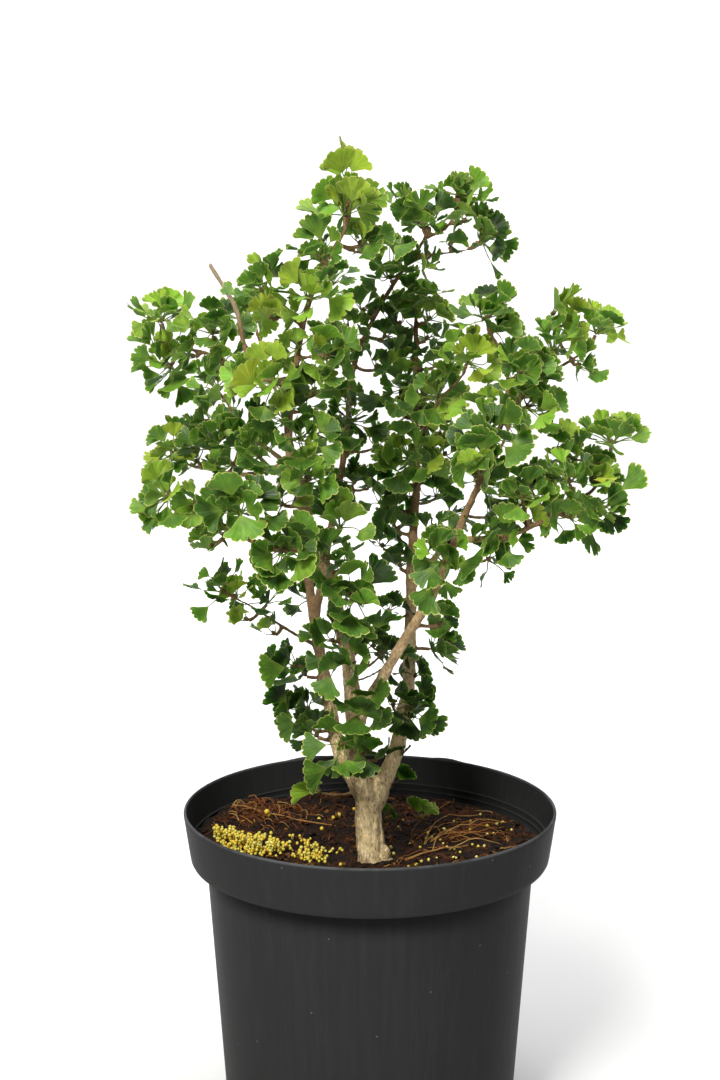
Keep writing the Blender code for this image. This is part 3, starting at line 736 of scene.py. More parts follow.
def makeChips(chance):
    chip = addShape(bpy.ops.mesh.primitive_cube_add, size=2.0)
    startEdit(chip)
    bpy.ops.mesh.bevel(offset=0.35, segments=1, affect="EDGES")
    endEdit()
    smoothShade(chip, 30.0)
    paint(chip, "tone", 0.5)
    flat = placesOf(chip)
    chips = []
    while len(chips) < litterLook["chipCount"]:
        x, y = chance.uniform(-106.0, 106.0), chance.uniform(-106.0, 106.0)
        if not inPot(x, y, 3.5):
            continue
        length = chance.uniform(*litterLook["chipLength"])
        length *= litterLook["longChip"] if chance.random() < litterLook["longChipShare"] else 1.0
        size = Vector([length] + [length * chance.uniform(*ends) for ends in litterLook["chipShares"]])
        jitter = np.array([[chance.uniform(-0.22, 0.22) for _ in range(3)] for _ in range(len(flat))])
        lean = Vector([chance.uniform(-1.0, 1.0) for _ in range(2)] + [1.6])
        turn = np.array(lean.to_track_quat("Z", "Y").to_matrix())
        angle = chance.uniform(0.0, math.tau)
        spin = np.array(((math.cos(angle), -math.sin(angle), 0), (math.sin(angle), math.cos(angle), 0), (0, 0, 1)))
        places = (flat + jitter) * np.array(size) @ spin.T @ turn.T * mm + np.array(onSoil(x, y, size.z * 0.2))
        copy = copyAs(chip, places)
        paint(copy, "tone", chance.random() ** 2.2)
        chips.append(copy)
    bpy.data.objects.remove(chip)
    material, shader, place = newMaterial("barkChips")
    dark, rust, pale = litterLook["chipColours"]
    colour = colourSteps(layerOf(place, "tone"), ((0.0, dark), (0.55, rust), (1.0, pale)))
    streaks, _, clouds = grainOf(place)
    colour = mixColours(times(streaks, 0.6), colour, dark)
    coat(shader, colour, ramp(clouds, 0.6, 0.95), litterLook["chipGloss"])
    bumped(shader, streaks, 0.5, 0.4 * mm)
    finishPiece(joinPieces(chips, "bark_chips"), material, "potting_mix")


def strandOnSoil(start, end, bow, radius, lift):
    # a strand that follows the soil, with its middle lifted a little
    count = litterLook["strandPoints"]
    points = []
    for step, point in enumerate(arcPoints((*start, 0.0), (*end, 0.0), bow, count)):
        swing = math.sin(math.pi * step / (count - 1))
        points.append(onSoil(point.x, point.y, radius + lift * swing))
    return points


def makeFibres(chance, tube):
    strands = []

    def addStrand(start, end, bow, radius, lift, tone, taper=0.5):
        if not (inPot(*start, 1.5) and inPot(*end, 1.5)):
            return
        points = strandOnSoil(start, end, bow, radius, lift)
        last = len(points) - 1
        radii = [radius * mm * (1.0 - (1.0 - taper) * step / last) for step in range(last + 1)]
        strand = bentTube(tube, points, radii)
        paint(strand, "tone", tone)
        strands.append(strand)

    for _ in range(litterLook["fibreCount"]):
        x, y = chance.uniform(-104.0, 104.0), chance.uniform(-104.0, 104.0)
        if chance.random() < litterLook["moundShare"]:
            x, y = (chance.gauss(*spread) for spread in litterLook["moundSpread"])
        angle, length = chance.uniform(0.0, math.tau), chance.uniform(*litterLook["fibreLength"])
        end = (x + math.cos(angle) * length, y + math.sin(angle) * length)
        bow, radius, lift = (chance.uniform(*ends) for ends in litterLook["fibreRanges"])
        addStrand((x, y), end, bow, radius, lift, chance.random() ** 2.4)
    # the tangle of dry stems at the right
    for _ in range(litterLook["strandCount"]):
        start = [chance.uniform(*ends) for ends in litterLook["strandStart"]]
        angle, length = math.radians(chance.gauss(14.0, 20.0)), chance.uniform(*litterLook["strandLength"])
        end = (start[0] + math.cos(angle) * length, start[1] + math.sin(angle) * length)
        bow, radius, lift, tone = (chance.uniform(*ends) for ends in litterLook["strandRanges"])
        addStrand(start, end, bow, radius, lift, tone, 0.75)
    addStrand((28.0, -34.0), (64.0, -24.0), 2.0, 0.55, 1.5, 0.62, 0.8)
    return joinPieces(strands, "soil_fibres")


def makeDryWoodMaterial():
    material, shader, place = newMaterial("dryStems")
    rust, tan, straw = litterLook["fibreColours"]
    colour = colourSteps(layerOf(place, "tone"), ((0.0, rust), (0.5, tan), (1.0, straw)))
    streaks, _, clouds = grainOf(place)
    colour = mixColours(times(clouds, 0.5), colour, shaded(rust, 0.4))
    coat(shader, colour, ramp(streaks, 0.55, 0.85), litterLook["fibreGloss"])
    bumped(shader, streaks, 0.4, 0.2 * mm)
    return material


def makeLitter():
    chance = random.Random(11)
    makePrills(chance)
    makeChips(chance)
    tube = makeTubeTemplate(5, 8)
    dryWood = makeDryWoodMaterial()
    finishPiece(makeFibres(chance, tube), dryWood, "dry_twig")
    for name, node, start, end, radius, bow in (
        ("long_dry_twig", "fallen_twig_left", (-90.0, 52.0), (-22.0, 50.0), 0.5, 3.0),
        ("short_dry_twig", "fallen_twig_right", (22.0, -6.0), (62.0, 12.0), 0.6, -2.0),
    ):
        points = strandOnSoil(start, end, bow, radius, 1.2)
        twig = bentTube(tube, points, [radius * mm * part for part in litterLook["twigGirths"]])
        paint(twig, "tone", 0.72)
        twig.name = name
        finishPiece(twig, dryWood, "dry_twig", node)
    bpy.data.objects.remove(tube)


makeLitter()
print("litter ready")


# The wood: where each stem runs in mm, as in the CAD model, and its radius at the start and the end

stemRoutes = {
    "trunk": ([(1, -2, 133), (1, -2, 165), (0, -2, 180), (-1, -3, 193), (-1, -3, 203)], 10.4, 8.2),
    "leftStem": ([(-1, -3, 200), (-9, -6, 231), (-10, -15, 260), (-13, -24, 296), (-22, -36, 339), (-36, -44, 384),
                  (-47, -44, 425), (-44, -36, 467), (-36, -24, 507), (-23, -18, 536), (-15, -16, 549)], 6.6, 1.2),
    "backLeftStem": ([(-4, -1, 206), (-19, 13, 231), (-27, 41, 262), (-36, 66, 302), (-43, 84, 352), (-50, 98, 407),
                      (-62, 108, 450), (-75, 112, 490)], 5.6, 1.1),
    "rightStem": ([(3, -2, 199), (9, 3, 215), (17, 10, 234), (24, 26, 266), (26, 38, 305), (27, 47, 348),
                   (30, 55, 400), (29, 54, 460), (29, 48, 500)], 5.8, 1.5),
    "frontStem": ([(-9, -12, 250), (-2, -26, 270), (19, -44, 312), (37, -56, 345), (52, -60, 385), (68, -52, 422),
                   (79, -38, 456), (75, -26, 480), (69, -21, 491)], 4.2, 1.2),
    "middleStem": ([(-36, 66, 302), (-27, 71, 355), (-16, 68, 416), (-10, 57, 470), (8, 43, 510), (29, 34, 541),
                    (37, 30, 554)], 3.2, 1.2),
    "rightLowBranch": ([(47, -60, 374), (77, -70, 378), (112, -66, 394), (128, -57, 405), (136, -50, 420)], 2.4, 1.0),
    "rightHighBranch": ([(75, -45, 440), (94, -32, 461), (119, -12, 475), (132, 0, 483)], 2.2, 0.9),
    "rightInnerBranch": ([(30, 55, 420), (42, 22, 448), (52, -6, 462), (55, -12, 467)], 1.8, 1.0),
    "topBranch": ([(33, 32, 548), (46, 29, 554), (53, 26, 565)], 1.4, 0.9),
    "topOuterBranch": ([(23, 37, 537), (46, 30, 539), (60, 25, 541)], 1.5, 0.9),
    "leftLowBranch": ([(-31, -42, 368), (-55, -54, 368), (-77, -60, 379), (-108, -52, 396)], 2.6, 1.1),
    "leftThinBranch": ([(-34, 60, 288), (-51, 44, 301), (-74, 22, 321), (-84, 13, 328)], 1.7, 0.9),
    "leftMiddleBranch": ([(-45, -43, 417), (-71, -22, 408), (-97, -1, 409), (-114, 9, 412)], 2.2, 1.0),
    "leftHighBranch": ([(-44, -37, 464), (-66, -20, 464), (-93, -2, 477), (-116, 8, 483), (-124, 11, 490)], 2.3, 1.0),
    "prunedBranch": ([(-70, -17, 468), (-75, -12, 486), (-80, -10, 506), (-95, -6, 531)], 1.9, 1.4),
    "leftShortBranch": ([(-40, -28, 495), (-60, -38, 509)], 1.6, 1.0),
    "backOuterBranch": ([(-49, 96, 400), (-84, 116, 426), (-98, 120, 446)], 2.0, 1.0),
    "backRightBranch": ([(26, 43, 328), (56, 76, 363), (87, 96, 414), (97, 100, 440)], 2.6, 1.1),
    "backTopBranch": ([(-11, 60, 460), (-23, 100, 493), (-26, 108, 513)], 1.9, 1.0),
}

# Tufts beside those of the CAD model: place in mm, how many leaves, their width in mm and how bright they are, which
# is painted light and shade
extraTufts = (
    (56, 26, 557, 6, 16, 0.6), (121, -12, 471, 7, 17, 0.5), (92, -30, 468, 8, 18, 0.5),
    (60, -70, 415, 8, 20, 0.5), (124, -58, 409, 7, 18, 0.6), (109, -70, 388, 8, 18, 0.5),
    (73, -73, 375, 6, 19, 0.4), (58, -70, 375, 8, 20, 0.4), (66, -58, 362, 6, 17, 0.15),
    (18, 45, 366, 9, 18, 0.2), (35, 48, 404, 9, 19, 0.7), (34, 46, 449, 8, 19, 0.7), (35, 46, 486, 8, 17, 0.4),
    (-16, 50, 474, 8, 17, 0.3), (-11, 60, 445, 8, 18, 0.55), (-17, 62, 416, 8, 18, 0.5),
    (-22, 64, 384, 9, 18, 0.15), (-41, -38, 481, 7, 18, 0.6), (-35, -54, 408, 9, 20, 0.5),
    (-80, -20, 413, 9, 18, 0.5), (-103, 0, 413, 7, 17, 0.55), (-98, -58, 395, 6, 18, 0.5),
    (-45, -50, 364, 4, 18, 0.35), (-86, -10, 472, 8, 18, 0.4), (-67, -24, 468, 8, 19, 0.45),
    (-96, 0, 437, 4, 17, 0.35), (-40, 35, 251, 7, 20, 0.3), (-33, 22, 237, 5, 20, 0.3),
    (-25, -48, 361, 6, 20, 0.4), (16, 12, 225, 3, 20, 0.3), (-38, 78, 315, 7, 19, 0.1),
    (73, 88, 388, 8, 19, 0.2), (-56, 104, 433, 9, 19, 0.2), (27, 60, 384, 7, 18, 0.15),
    (-16, 75, 422, 7, 18, 0.15),
    # fuller places, from the top down
    (-12, -16, 563, 4, 23, 0.65), (21, 31, 565, 6, 19, 0.55), (-6, -12, 541, 7, 19, 0.6),
    (5, -5, 538, 6, 19, 0.55), (48, 27, 543, 5, 18, 0.45), (71, 24, 547, 4, 18, 0.5), (52, 26, 572, 3, 17, 0.6),
    (34, 32, 530, 7, 18, 0.5), (-4, 42, 503, 6, 18, 0.4), (9, 45, 487, 7, 18, 0.25), (18, 46, 495, 6, 18, 0.35),
    (4, 47, 468, 3, 17, 0.2), (20, 48, 474, 5, 18, 0.25), (40, 45, 469, 6, 18, 0.5), (110, -10, 493, 4, 20, 0.6),
    (119, -3, 498, 2, 17, 0.55), (71, -22, 491, 6, 19, 0.45), (68, -39, 448, 6, 19, 0.6),
    (62, -47, 432, 6, 19, 0.3), (-129, 11, 482, 5, 18, 0.5), (-117, 7, 478, 6, 18, 0.6),
    (-56, -36, 498, 4, 18, 0.9), (-38, -34, 446, 6, 19, 0.35), (-78, -6, 430, 7, 19, 0.25),
    (-98, -55, 378, 2, 18, 0.55), (-90, -57, 370, 4, 20, 0.6), (-82, -57, 376, 5, 20, 0.4),
    (-18, -41, 378, 7, 20, 0.6), (-16, -41, 355, 6, 20, 0.5), (-14, -41, 335, 5, 20, 0.45),
    (-22, -35, 310, 5, 20, 0.6), (0, 66, 391, 7, 18, 0.2), (-10, 68, 393, 5, 18, 0.3),
    (16, 52, 376, 6, 18, 0.45), (18, 52, 411, 6, 18, 0.8), (8, 50, 354, 6, 18, 0.1), (19, 46, 342, 6, 18, 0.2),
    (52, 74, 372, 7, 19, 0.15), (78, 84, 370, 6, 19, 0.25), (90, -53, 406, 4, 18, 0.5),
    (102, -66, 386, 4, 18, 0.4), (119, -53, 416, 6, 18, 0.4), (130, -50, 411, 5, 16, 0.5),
    (40, -46, 322, 4, 18, 0.4), (7, -5, 296, 6, 19, 0.1), (28, 28, 274, 5, 18, 0.1), (24, 20, 246, 3, 18, 0.35),
    (14, 2, 262, 5, 18, 0.15), (-60, 36, 300, 3, 16, 0.7), (-76, 22, 312, 4, 16, 0.8),
    (-82, 14, 328, 5, 17, 0.8), (-43, 36, 250, 5, 18, 0.15), (-36, 28, 240, 5, 19, 0.25),
    (-41, 50, 270, 4, 17, 0.1), (12, 0, 290, 6, 20, 0.15), (36, 40, 498, 7, 20, 0.85), (43, 68, 384, 6, 19, 0.2),
    (106, -45, 424, 6, 18, 0.5), (43, 48, 426, 4, 18, 0.75), (82, -62, 393, 4, 19, 0.5),
    (4, -16, 233, 2, 20, 0.5), (20, 44, 440, 6, 19, 0.65), (-4, -15, 236, 3, 20, 0.45),
    (-31, 4, 206, 3, 19, 0.8), (14, 22, 206, 2, 18, 0.2), (10, 26, 180, 2, 12, 0.25), (33, 38, 178, 3, 18, 0.8),
    (4, 58, 418, 6, 18, 0.7), (-32, -38, 455, 6, 20, 0.4), (-14, -16, 578, 3, 26, 0.8), (2, 20, 295, 5, 19, 0.1),
    (11, 20, 317, 5, 18, 0.2), (88, -63, 384, 4, 19, 0.4), (8, 60, 380, 5, 18, 0.4), (-105, 3, 476, 5, 18, 0.5),
    (-50, -46, 392, 6, 20, 0.5), (106, -10, 501, 3, 22, 0.7), (47, 52, 413, 5, 18, 0.65),
    # at the back
    (-70, 110, 413, 7, 18, 0.35), (-24, 90, 486, 7, 18, 0.4), (92, 99, 429, 6, 18, 0.4),
    (70, 88, 395, 7, 18, 0.35), (-46, 98, 388, 7, 18, 0.3), (34, 64, 432, 7, 18, 0.3),
    (-92, 120, 438, 6, 18, 0.4), (-40, 84, 345, 6, 18, 0.25),
)

woodLook = {
    "voxel": 0.95,
    "relaxing": (0.5, 5),
    "roundness": 3,
    "spurGirths": (1.45, 1.35, 1.5, 1.3, 1.5, 1.35, 1.65),
    "oldBark": (0.86, 0.655, 0.345),
    "oldDark": (0.150, 0.092, 0.042),
    "brownBark": (0.20, 0.120, 0.056),
    "youngBark": (0.175, 0.110, 0.042),
    "paleFleck": (0.92, 0.80, 0.52),
    "dryBark": (0.32, 0.25, 0.16),
    "gloss": 0.2,
    "relief": (0.75, 0.7, 0.28),    # ridges, lumps and grit
    # burls and root swellings: centre and size in mm
    "burls": (
        ((8.8, -5.0, 170.0), (4.4, 4.4, 6.0)), ((9.5, -5.0, 164.0), (5.4, 5.0, 5.5)),
        ((-5.0, -5.0, 161.0), (5.0, 5.0, 4.0)), ((-5.0, 5.0, 161.0), (6.0, 5.5, 5.0)),
        ((4.0, 3.0, 211.0), (5.0, 5.0, 7.0)), ((22.0, 22.0, 256.0), (5.0, 5.0, 5.0)),
        ((-25.0, 24.0, 246.0), (4.6, 4.6, 6.0)),
    ),
}


def smoothRoute(points, step=4.0):
    # a smooth line through the points, in mm
    points = [Vector(point) for point in points]
    padded = [points[0] * 2 - points[1]] + points + [points[-1] * 2 - points[-2]]
    line = []
    for before, start, end, after in zip(padded, padded[1:], padded[2:], padded[3:]):
        count = max(2, int((end - start).length / step))
        for index in range(count):
            t = index / count
            line.append(0.5 * ((2 * start) + (end - before) * t + (2 * before - 5 * start + 4 * end - after) * t * t
                               + (3 * start - before - 3 * end + after) * t ** 3))
    line.append(points[-1])
    return line


def stemRadii(count, startRadius, endRadius, seed):
    # knotty all the way, and the trunk less so
    bumpy = 0.4 if startRadius > 8.0 else 1.0
    radii = []
    for index in range(count):
        share = index / max(1, count - 1)
        radius = startRadius + (endRadius - startRadius) * share ** 0.8
        knots = 0.10 * noise.noise(Vector((index * 0.55, seed, 0.0))) + 0.05 * math.sin(index * 1.9 + seed)
        radii.append(radius * (1.0 + bumpy * knots))
    return radii


def makeTube(points, radii):
    # a bevelled path turned into a mesh, in mm
    path = addShape(bpy.ops.curve.primitive_nurbs_path_add)
    path.data.splines.clear()
    spline = path.data.splines.new("POLY")
    spline.points.add(len(points) - 1)
    for spot, point, radius in zip(spline.points, points, radii):
        spot.co = (*(point * mm), 1.0)
        spot.radius = radius
    path.data.bevel_depth = mm
    path.data.bevel_resolution = woodLook["roundness"]
    path.data.use_fill_caps = True
    path.data.resolution_u = 1
    bpy.ops.object.convert(target="MESH")
    return bpy.context.object


def growWood(tubes, line, points, radii):
    # line keeps the place and the radius in mm at each step down the middle of the wood
    tubes.append(makeTube(points, radii))
    line += list(zip(points, radii))


def spurTo(line, tip, axis):
    # a short curved shoot from the nearest stem to the foot of a bud, in mm
    if tip.z < 200.0:
        # a seedling stands in the soil beside the trunk
        foot, bend = Vector((tip.x * 0.8, tip.y, 160.0)), Vector((tip.x * 0.83, tip.y, tip.z - 8.0))
        return [foot, bend, tip], [0.8, 0.75, 0.7]
    reachable = [spot for spot in line if spot[0].z < tip.z + 14.0]
    root = min(reachable, key=lambda spot: (spot[0] - tip).length + max(0.0, spot[0].z - tip.z) * 0.6)[0]
    length = (tip - root).length
    girths, points = woodLook["spurGirths"], []
    for step in range(len(girths)):
        share = step / (len(girths) - 1)
        points.append(root.lerp(tip, share) - axis * math.sin(math.pi * share) * length * 0.10)
    thickness = max(0.62, min(1.0, 1.3 - length / 50.0))
    return points, [thickness * part for part in girths]


def makeBarkMaterial():
    material, shader, place = newMaterial("ginkgoBark")
    streaks, flecks, clouds = grainOf(place)
    girth = layerOf(place, "girth")
    side, depth, height = partsOf(place)
    oldBarkAndBackShade = ramp(girth, 0.0, 1.0, 2.0, 4.6)
    low = ramp(height, 1.0, 0.25, 250 * mm, 430 * mm)
    oldBarkAndBackShade = times(oldBarkAndBackShade, low)
    # painted shade: stems at the back, in the shade of the crown, get less of the pale tan and stay a darker brown
    oldBarkAndBackShade = times(oldBarkAndBackShade, ramp(depth, 1.0, 0.3, 25 * mm, 50 * mm))
    fresh = ramp(girth, 1.0, 0.0, 1.2, 2.2)
    brown = mixColours(clouds, woodLook["brownBark"], shaded(woodLook["brownBark"], 1.6))
    brown = mixColours(fresh, brown, woodLook["youngBark"])
    patches = upwardNoise(place, 0.35, 150.0, 4.0, 0.6)
    tan = ramp(patches, 0.35, 0.0, 0.36, 0.55)
    tan = mixColours(tan, woodLook["oldBark"], woodLook["brownBark"])
    tan = mixColours(ramp(streaks, 0.0, 0.22), tan, woodLook["oldDark"])
    # the pruned shoot is dry and grey
    dry = times(ramp(height, 0.0, 1.0, 490 * mm, 502 * mm), ramp(side, 1.0, 0.0, -74 * mm, -70 * mm))
    # browner at the foot and on the left of the trunk: partly the bark's own colour, partly painted shade
    foot = times(ramp(height, 0.75, 0.0, 166 * mm, 184 * mm), clouds)
    left = times(ramp(side, 0.6, 0.0, -10 * mm, -3 * mm), low)
    fissures = upwardNoise(place, 0.42, 760.0, 6.0, 0.75)
    rings = upwardNoise(place, 3.2, 520.0, 2.0)
    colour = layered(
        mixColours(oldBarkAndBackShade, brown, tan),
        (dry, woodLook["dryBark"]),
        (calc("MAXIMUM", foot, left), woodLook["brownBark"]),
        (ramp(fissures, 0.8, 0.0, 0.39, 0.45), woodLook["oldDark"]),
        (ramp(rings, 0.0, 0.6, 0.64, 0.74), woodLook["oldDark"]),
        (times(ramp(fissures, 0.0, 0.8, 0.53, 0.60), oldBarkAndBackShade), woodLook["paleFleck"]),
        (times(flecks, 0.3), woodLook["paleFleck"]),
    )
    coat(shader, colour, ramp(clouds, 0.62, 0.9), woodLook["gloss"])
    relief = plus(fissures, times(rings, -0.5))
    relief = plus(relief, times(streaks, 0.3))
    bumped(shader, relief, 0.85, 0.8 * mm)
    return material


def makeWood(budSpots):
    tubes, line = [], []
    for number, (route, startRadius, endRadius) in enumerate(stemRoutes.values()):
        points = smoothRoute(route)
        growWood(tubes, line, points, stemRadii(len(points), startRadius, endRadius, number * 3.7))
    for points, radii in [spurTo(line, tip, axis) for tip, axis in budSpots]:
        growWood(tubes, line, points, radii)
    for centre, size in woodLook["burls"]:
        burl = addShape(bpy.ops.mesh.primitive_uv_sphere_add, segments=16, ring_count=10, radius=mm,
                        location=Vector(centre) * mm, scale=size)
        settle(burl)
        tubes.append(burl)
    piece = joinPieces(tubes, "wood")
    remesh = piece.modifiers.new("oneBody", "REMESH")
    remesh.mode = "VOXEL"
    remesh.voxel_size = woodLook["voxel"] * mm
    relax = piece.modifiers.new("relax", "SMOOTH")
    relax.factor, relax.iterations = woodLook["relaxing"]
    applyModifiers(piece)

    nearLine = kdtree.KDTree(len(line))
    for index, (point, _) in enumerate(line):
        nearLine.insert(point, index)
    nearLine.balance()
    places = placesOf(piece)
    normals = np.empty(len(places) * 3)
    piece.data.vertex_normals.foreach_get("vector", normals)
    normals = normals.reshape(-1, 3)
    girths = np.empty(len(places))
    ridgeShare, lumpShare, gritShare = woodLook["relief"]
    for index, place in enumerate(places):
        spot = Vector(place) / mm
        near = min(nearLine.find_n(spot, 8), key=lambda found: found[2] - line[found[1]][1])
        girth = line[near[1]][1]
        girths[index] = girth
        rough = min(1.0, girth / 9.0)
        ridges = noise.noise(Vector((spot.x * 0.42, spot.y * 0.42, spot.z * 0.10)))
        lumps = noise.noise(spot * 0.16)
        grit = noise.noise(Vector((spot.x, spot.y, spot.z * 0.5)) * 1.1)
        push = (ridges * ridgeShare + lumps * lumpShare + grit * gritShare) * (0.12 + rough)
        places[index] += normals[index] * push * mm
    setPlaces(piece, places)
    paint(piece, "girth", girths)
    smoothShade(piece, 70.0)
    finishPiece(piece, makeBarkMaterial(), "bark", "trunk_and_branches")


# Leaves: each template is a closed fan of one reach long, copied onto the seats that the CAD tufts give

leafLook = {
    # half angle in degrees, lobes, how deep the notches are and how much deeper the middle one is
    "shapes": (
        (44, 5, 0.085, 0.00), (52, 6, 0.075, 0.16), (58, 5, 0.070, 0.00), (64, 6, 0.080, 0.28),
        (72, 6, 0.065, 0.10), (82, 7, 0.065, 0.00), (60, 6, 0.085, 0.38),
    ),
    "rows": (0.0, 0.6, 1.0),
    "thickness": 0.012,
    "cup": (0.0, 0.5),
    "bow": (-0.18, 0.30),
    "fold": (-0.05, 0.30),
    "ruffle": (0.04, 0.12),
    "waves": (4.0, 8.0),
    "twist": 0.35,
    # radians across the blade, and how far they wander
    "veins": (150.0, 3.0),
    "pleats": (42.0, 9.0),
    "extraOnTuft": 7,
    "coverLeaves": 3,       # that stand over a bud
    "widest": 26.0,
    "stalkRadius": 0.42,
    "stalkGirths": (1.35, 1.0, 0.85, 0.9, 0.55),
    # an added leaf: lean from the bud in degrees, stalk in mm, and how steeply the blade rises or hangs
    "lean": (20.0, 100.0),
    "coverLean": (5.0, 50.0),
    "stalkLength": (2.0, 11.0),
    "coverStalkLength": (2.0, 5.5),
    "rise": (0.2, 0.9),
    "hang": (-0.8, -0.1),
    "risingShare": 0.6,
    "facing": (0.0, -0.45, 0.5),
    "sizes": (0.75, 1.12),
    "tries": 12,
    "toneSpread": 0.17,
    "yellowness": (0.18, 0.25),     # mean and spread
    "betweenDarker": 0.38,  # painted shade on the leaves of the added tufts
    "gloss": 0.20,
    "glow": 0.22,           # light that goes through the blade
    "glowColour": (0.45, 1.0, 0.15),
    "glowDepth": 0.9,
    # dark, mid and bright run the leaf colour from painted shade to painted light
    "dark": (0.0035, 0.0130, 0.0017),
    "mid": (0.062, 0.140, 0.016),
    "bright": (0.200, 0.420, 0.034),
    "yellow": (0.420, 0.480, 0.045),
    "rim": (0.46, 0.50, 0.11),
    "under": (0.080, 0.148, 0.032),
    "stalk": (0.19, 0.27, 0.04),
    "budScale": (0.12, 0.075, 0.03),
    "budSize": (1.7, 1.7, 4.0),
}


def paintLeafParts(piece, stemness, underside=0.0):
    # stemness is 0 on a blade, 1 on a stalk and 2 on a bud
    paint(piece, "underside", underside, "FACE")
    for layerName, value in (("tone", 0.5), ("yellowness", 0.0), ("stemness", stemness)):
        paint(piece, layerName, value)


def makeLeafTemplate(number, shape):
    halfAngle, lobes, depth, notch = shape
    columns = lobes * 3
    rows = leafLook["rows"]
    leaf = addShape(bpy.ops.mesh.primitive_grid_add, x_subdivisions=columns, y_subdivisions=len(rows) - 1, size=2.0)
    chance = random.Random(number)
    heights = [1.0 + chance.uniform(-0.04, 0.04) for _ in range(lobes)]
    margin = []     # how far round and how far out the margin is at each column
    for column in range(columns + 1):
        lobe, part = divmod(column, 3)
        share = 2.0 * column / columns - 1.0
        if part:
            margin.append((share + (part - 1.5) * 1.1 / columns, heights[lobe]))
            continue
        out = min(heights[max(lobe - 1, 0)], heights[min(lobe, lobes - 1)]) - depth * chance.uniform(0.5, 1.4)
        if column in (0, columns):
            out -= depth
        elif abs(share) < 0.01:
            out -= notch
        margin.append((share, out))
    places = placesOf(leaf)
    flat = np.zeros_like(places)
    for index, (x, y, _) in enumerate(places):
        out = rows[round((y + 1.0) / 2.0 * (len(rows) - 1))]
        share, edge = margin[round((x + 1.0) / 2.0 * columns)]
        reach = out * (1.0 + (edge - 1.0) * out ** 3)
        angle = share * math.radians(halfAngle) * (0.74 + 0.26 * out)
        closed = (1.0 - share ** 4) * math.sin(math.pi * out) ** 0.5 if 0.0 < out < 1.0 else 0.0
        flat[index] = (math.sin(angle) * reach, math.cos(angle) * reach, leafLook["thickness"] * closed)
    setPlaces(leaf, flat)
    # the underside is a mirrored copy that is welded to the margin
    startEdit(leaf, "FACE")
    bpy.ops.mesh.duplicate()
    bpy.ops.transform.resize(value=(1.0, 1.0, -1.0), center_override=(0.0, 0.0, 0.0))
    bpy.ops.mesh.flip_normals()
    bpy.ops.mesh.select_all(action="SELECT")
    bpy.ops.mesh.remove_doubles(threshold=0.002)
    endEdit()
    smoothShade(leaf, 60.0)
    paintLeafParts(leaf, 0.0, [face.normal.z < 0.0 for face in leaf.data.polygons])
    leaf.name = f"leafTemplate{number}"
    return leaf


def makeBudTemplate():
    # a small scaly bud, 1 long and 1 in radius, standing on the origin
    bud = addShape(bpy.ops.mesh.primitive_uv_sphere_add, segments=8, ring_count=6, radius=1.0)
    places = placesOf(bud)
    share = (places[:, 2] + 1.0) / 2.0
    places[:, :2] *= (1.0 - 0.45 * share ** 2)[:, None]
    places[:, 2] = share
    setPlaces(bud, places)
    smoothShade(bud, 70.0)
    paintLeafParts(bud, 2.0)
    return bud


def unit(vector):
    return vector.normalized()


def makeSeat(start, base, along, facing, width):
    # where one leaf grows: its stalk runs from start to base, and its blade along from there
    along = unit(along)
    normal = unit(facing - along * facing.dot(along))
    return {"start": start, "base": base, "along": along, "normal": normal, "across": along.cross(normal),
            "width": width, "middle": base + along * width * 0.42}


def readTuft(nodeName):
    # the bud and the leaf seats of one CAD tuft, read from a welded copy of its mesh
    welded = bmesh.new()
    welded.from_mesh(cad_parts[nodeName].data)
    bmesh.ops.remove_doubles(welded, verts=welded.verts[:], dist=0.01 * mm)
    collar = {}
    for edge in welded.edges:
        if edge.calc_length() < 1.2 * mm:
            first, second = (collar.setdefault(vertex, {vertex}) for vertex in edge.verts)
            if first is not second:
                first |= second
                for vertex in second:
                    collar[vertex] = first
    islands, seen = [], set()
    for vertex in welded.verts:
        if vertex in collar or vertex in seen:
            continue
        island, waiting = [], [vertex]
        seen.add(vertex)
        while waiting:
            current = waiting.pop()
            island.append(current)
            for edge in current.link_edges:
                other = edge.other_vert(current)
                if other not in collar and other not in seen:
                    seen.add(other)
                    waiting.append(other)
        islands.append(island)
    bud = max(islands, key=len)
    centre = sum((vertex.co for vertex in bud), Vector()) / len(bud)
    tip = max(bud, key=lambda vertex: (vertex.co - centre).length).co
    axis = unit(tip - centre)
    seats = []
    for island in islands:
        if island is bud:
            continue
        ring = next(collar[other] for vertex in island for edge in vertex.link_edges
                    for other in [edge.other_vert(vertex)] if other in collar)
        margins = set(island)
        links = {corner: [edge.other_vert(corner) for edge in corner.link_edges] for corner in ring}
        right = min(ring, key=lambda corner: sum(other in margins for other in links[corner]))
        others = (corner for corner in ring if corner is not right)
        ridge = min(others, key=lambda corner: (corner.co - right.co).length)
        left = next(corner for corner in ring if corner is not right and corner is not ridge)
        base = (left.co + right.co) / 2
        feet = [other.co for corner in ring for other in links[corner] if other in bud]
        start = sum(feet, Vector()) / len(feet)
        along = sum((vertex.co for vertex in island), Vector()) / len(island) - base
        width = max((one.co - two.co).length for one in island for two in island)
        seats.append(makeSeat(start, base, along, ridge.co - base, width))
    welded.free()
    # islands come in the mesh's own order, so the seats are sorted to give the same leaves every time
    seats.sort(key=lambda seat: tuple(round(part, 6) for part in seat["base"]))
    return centre - axis * 1.56 * mm, axis, seats


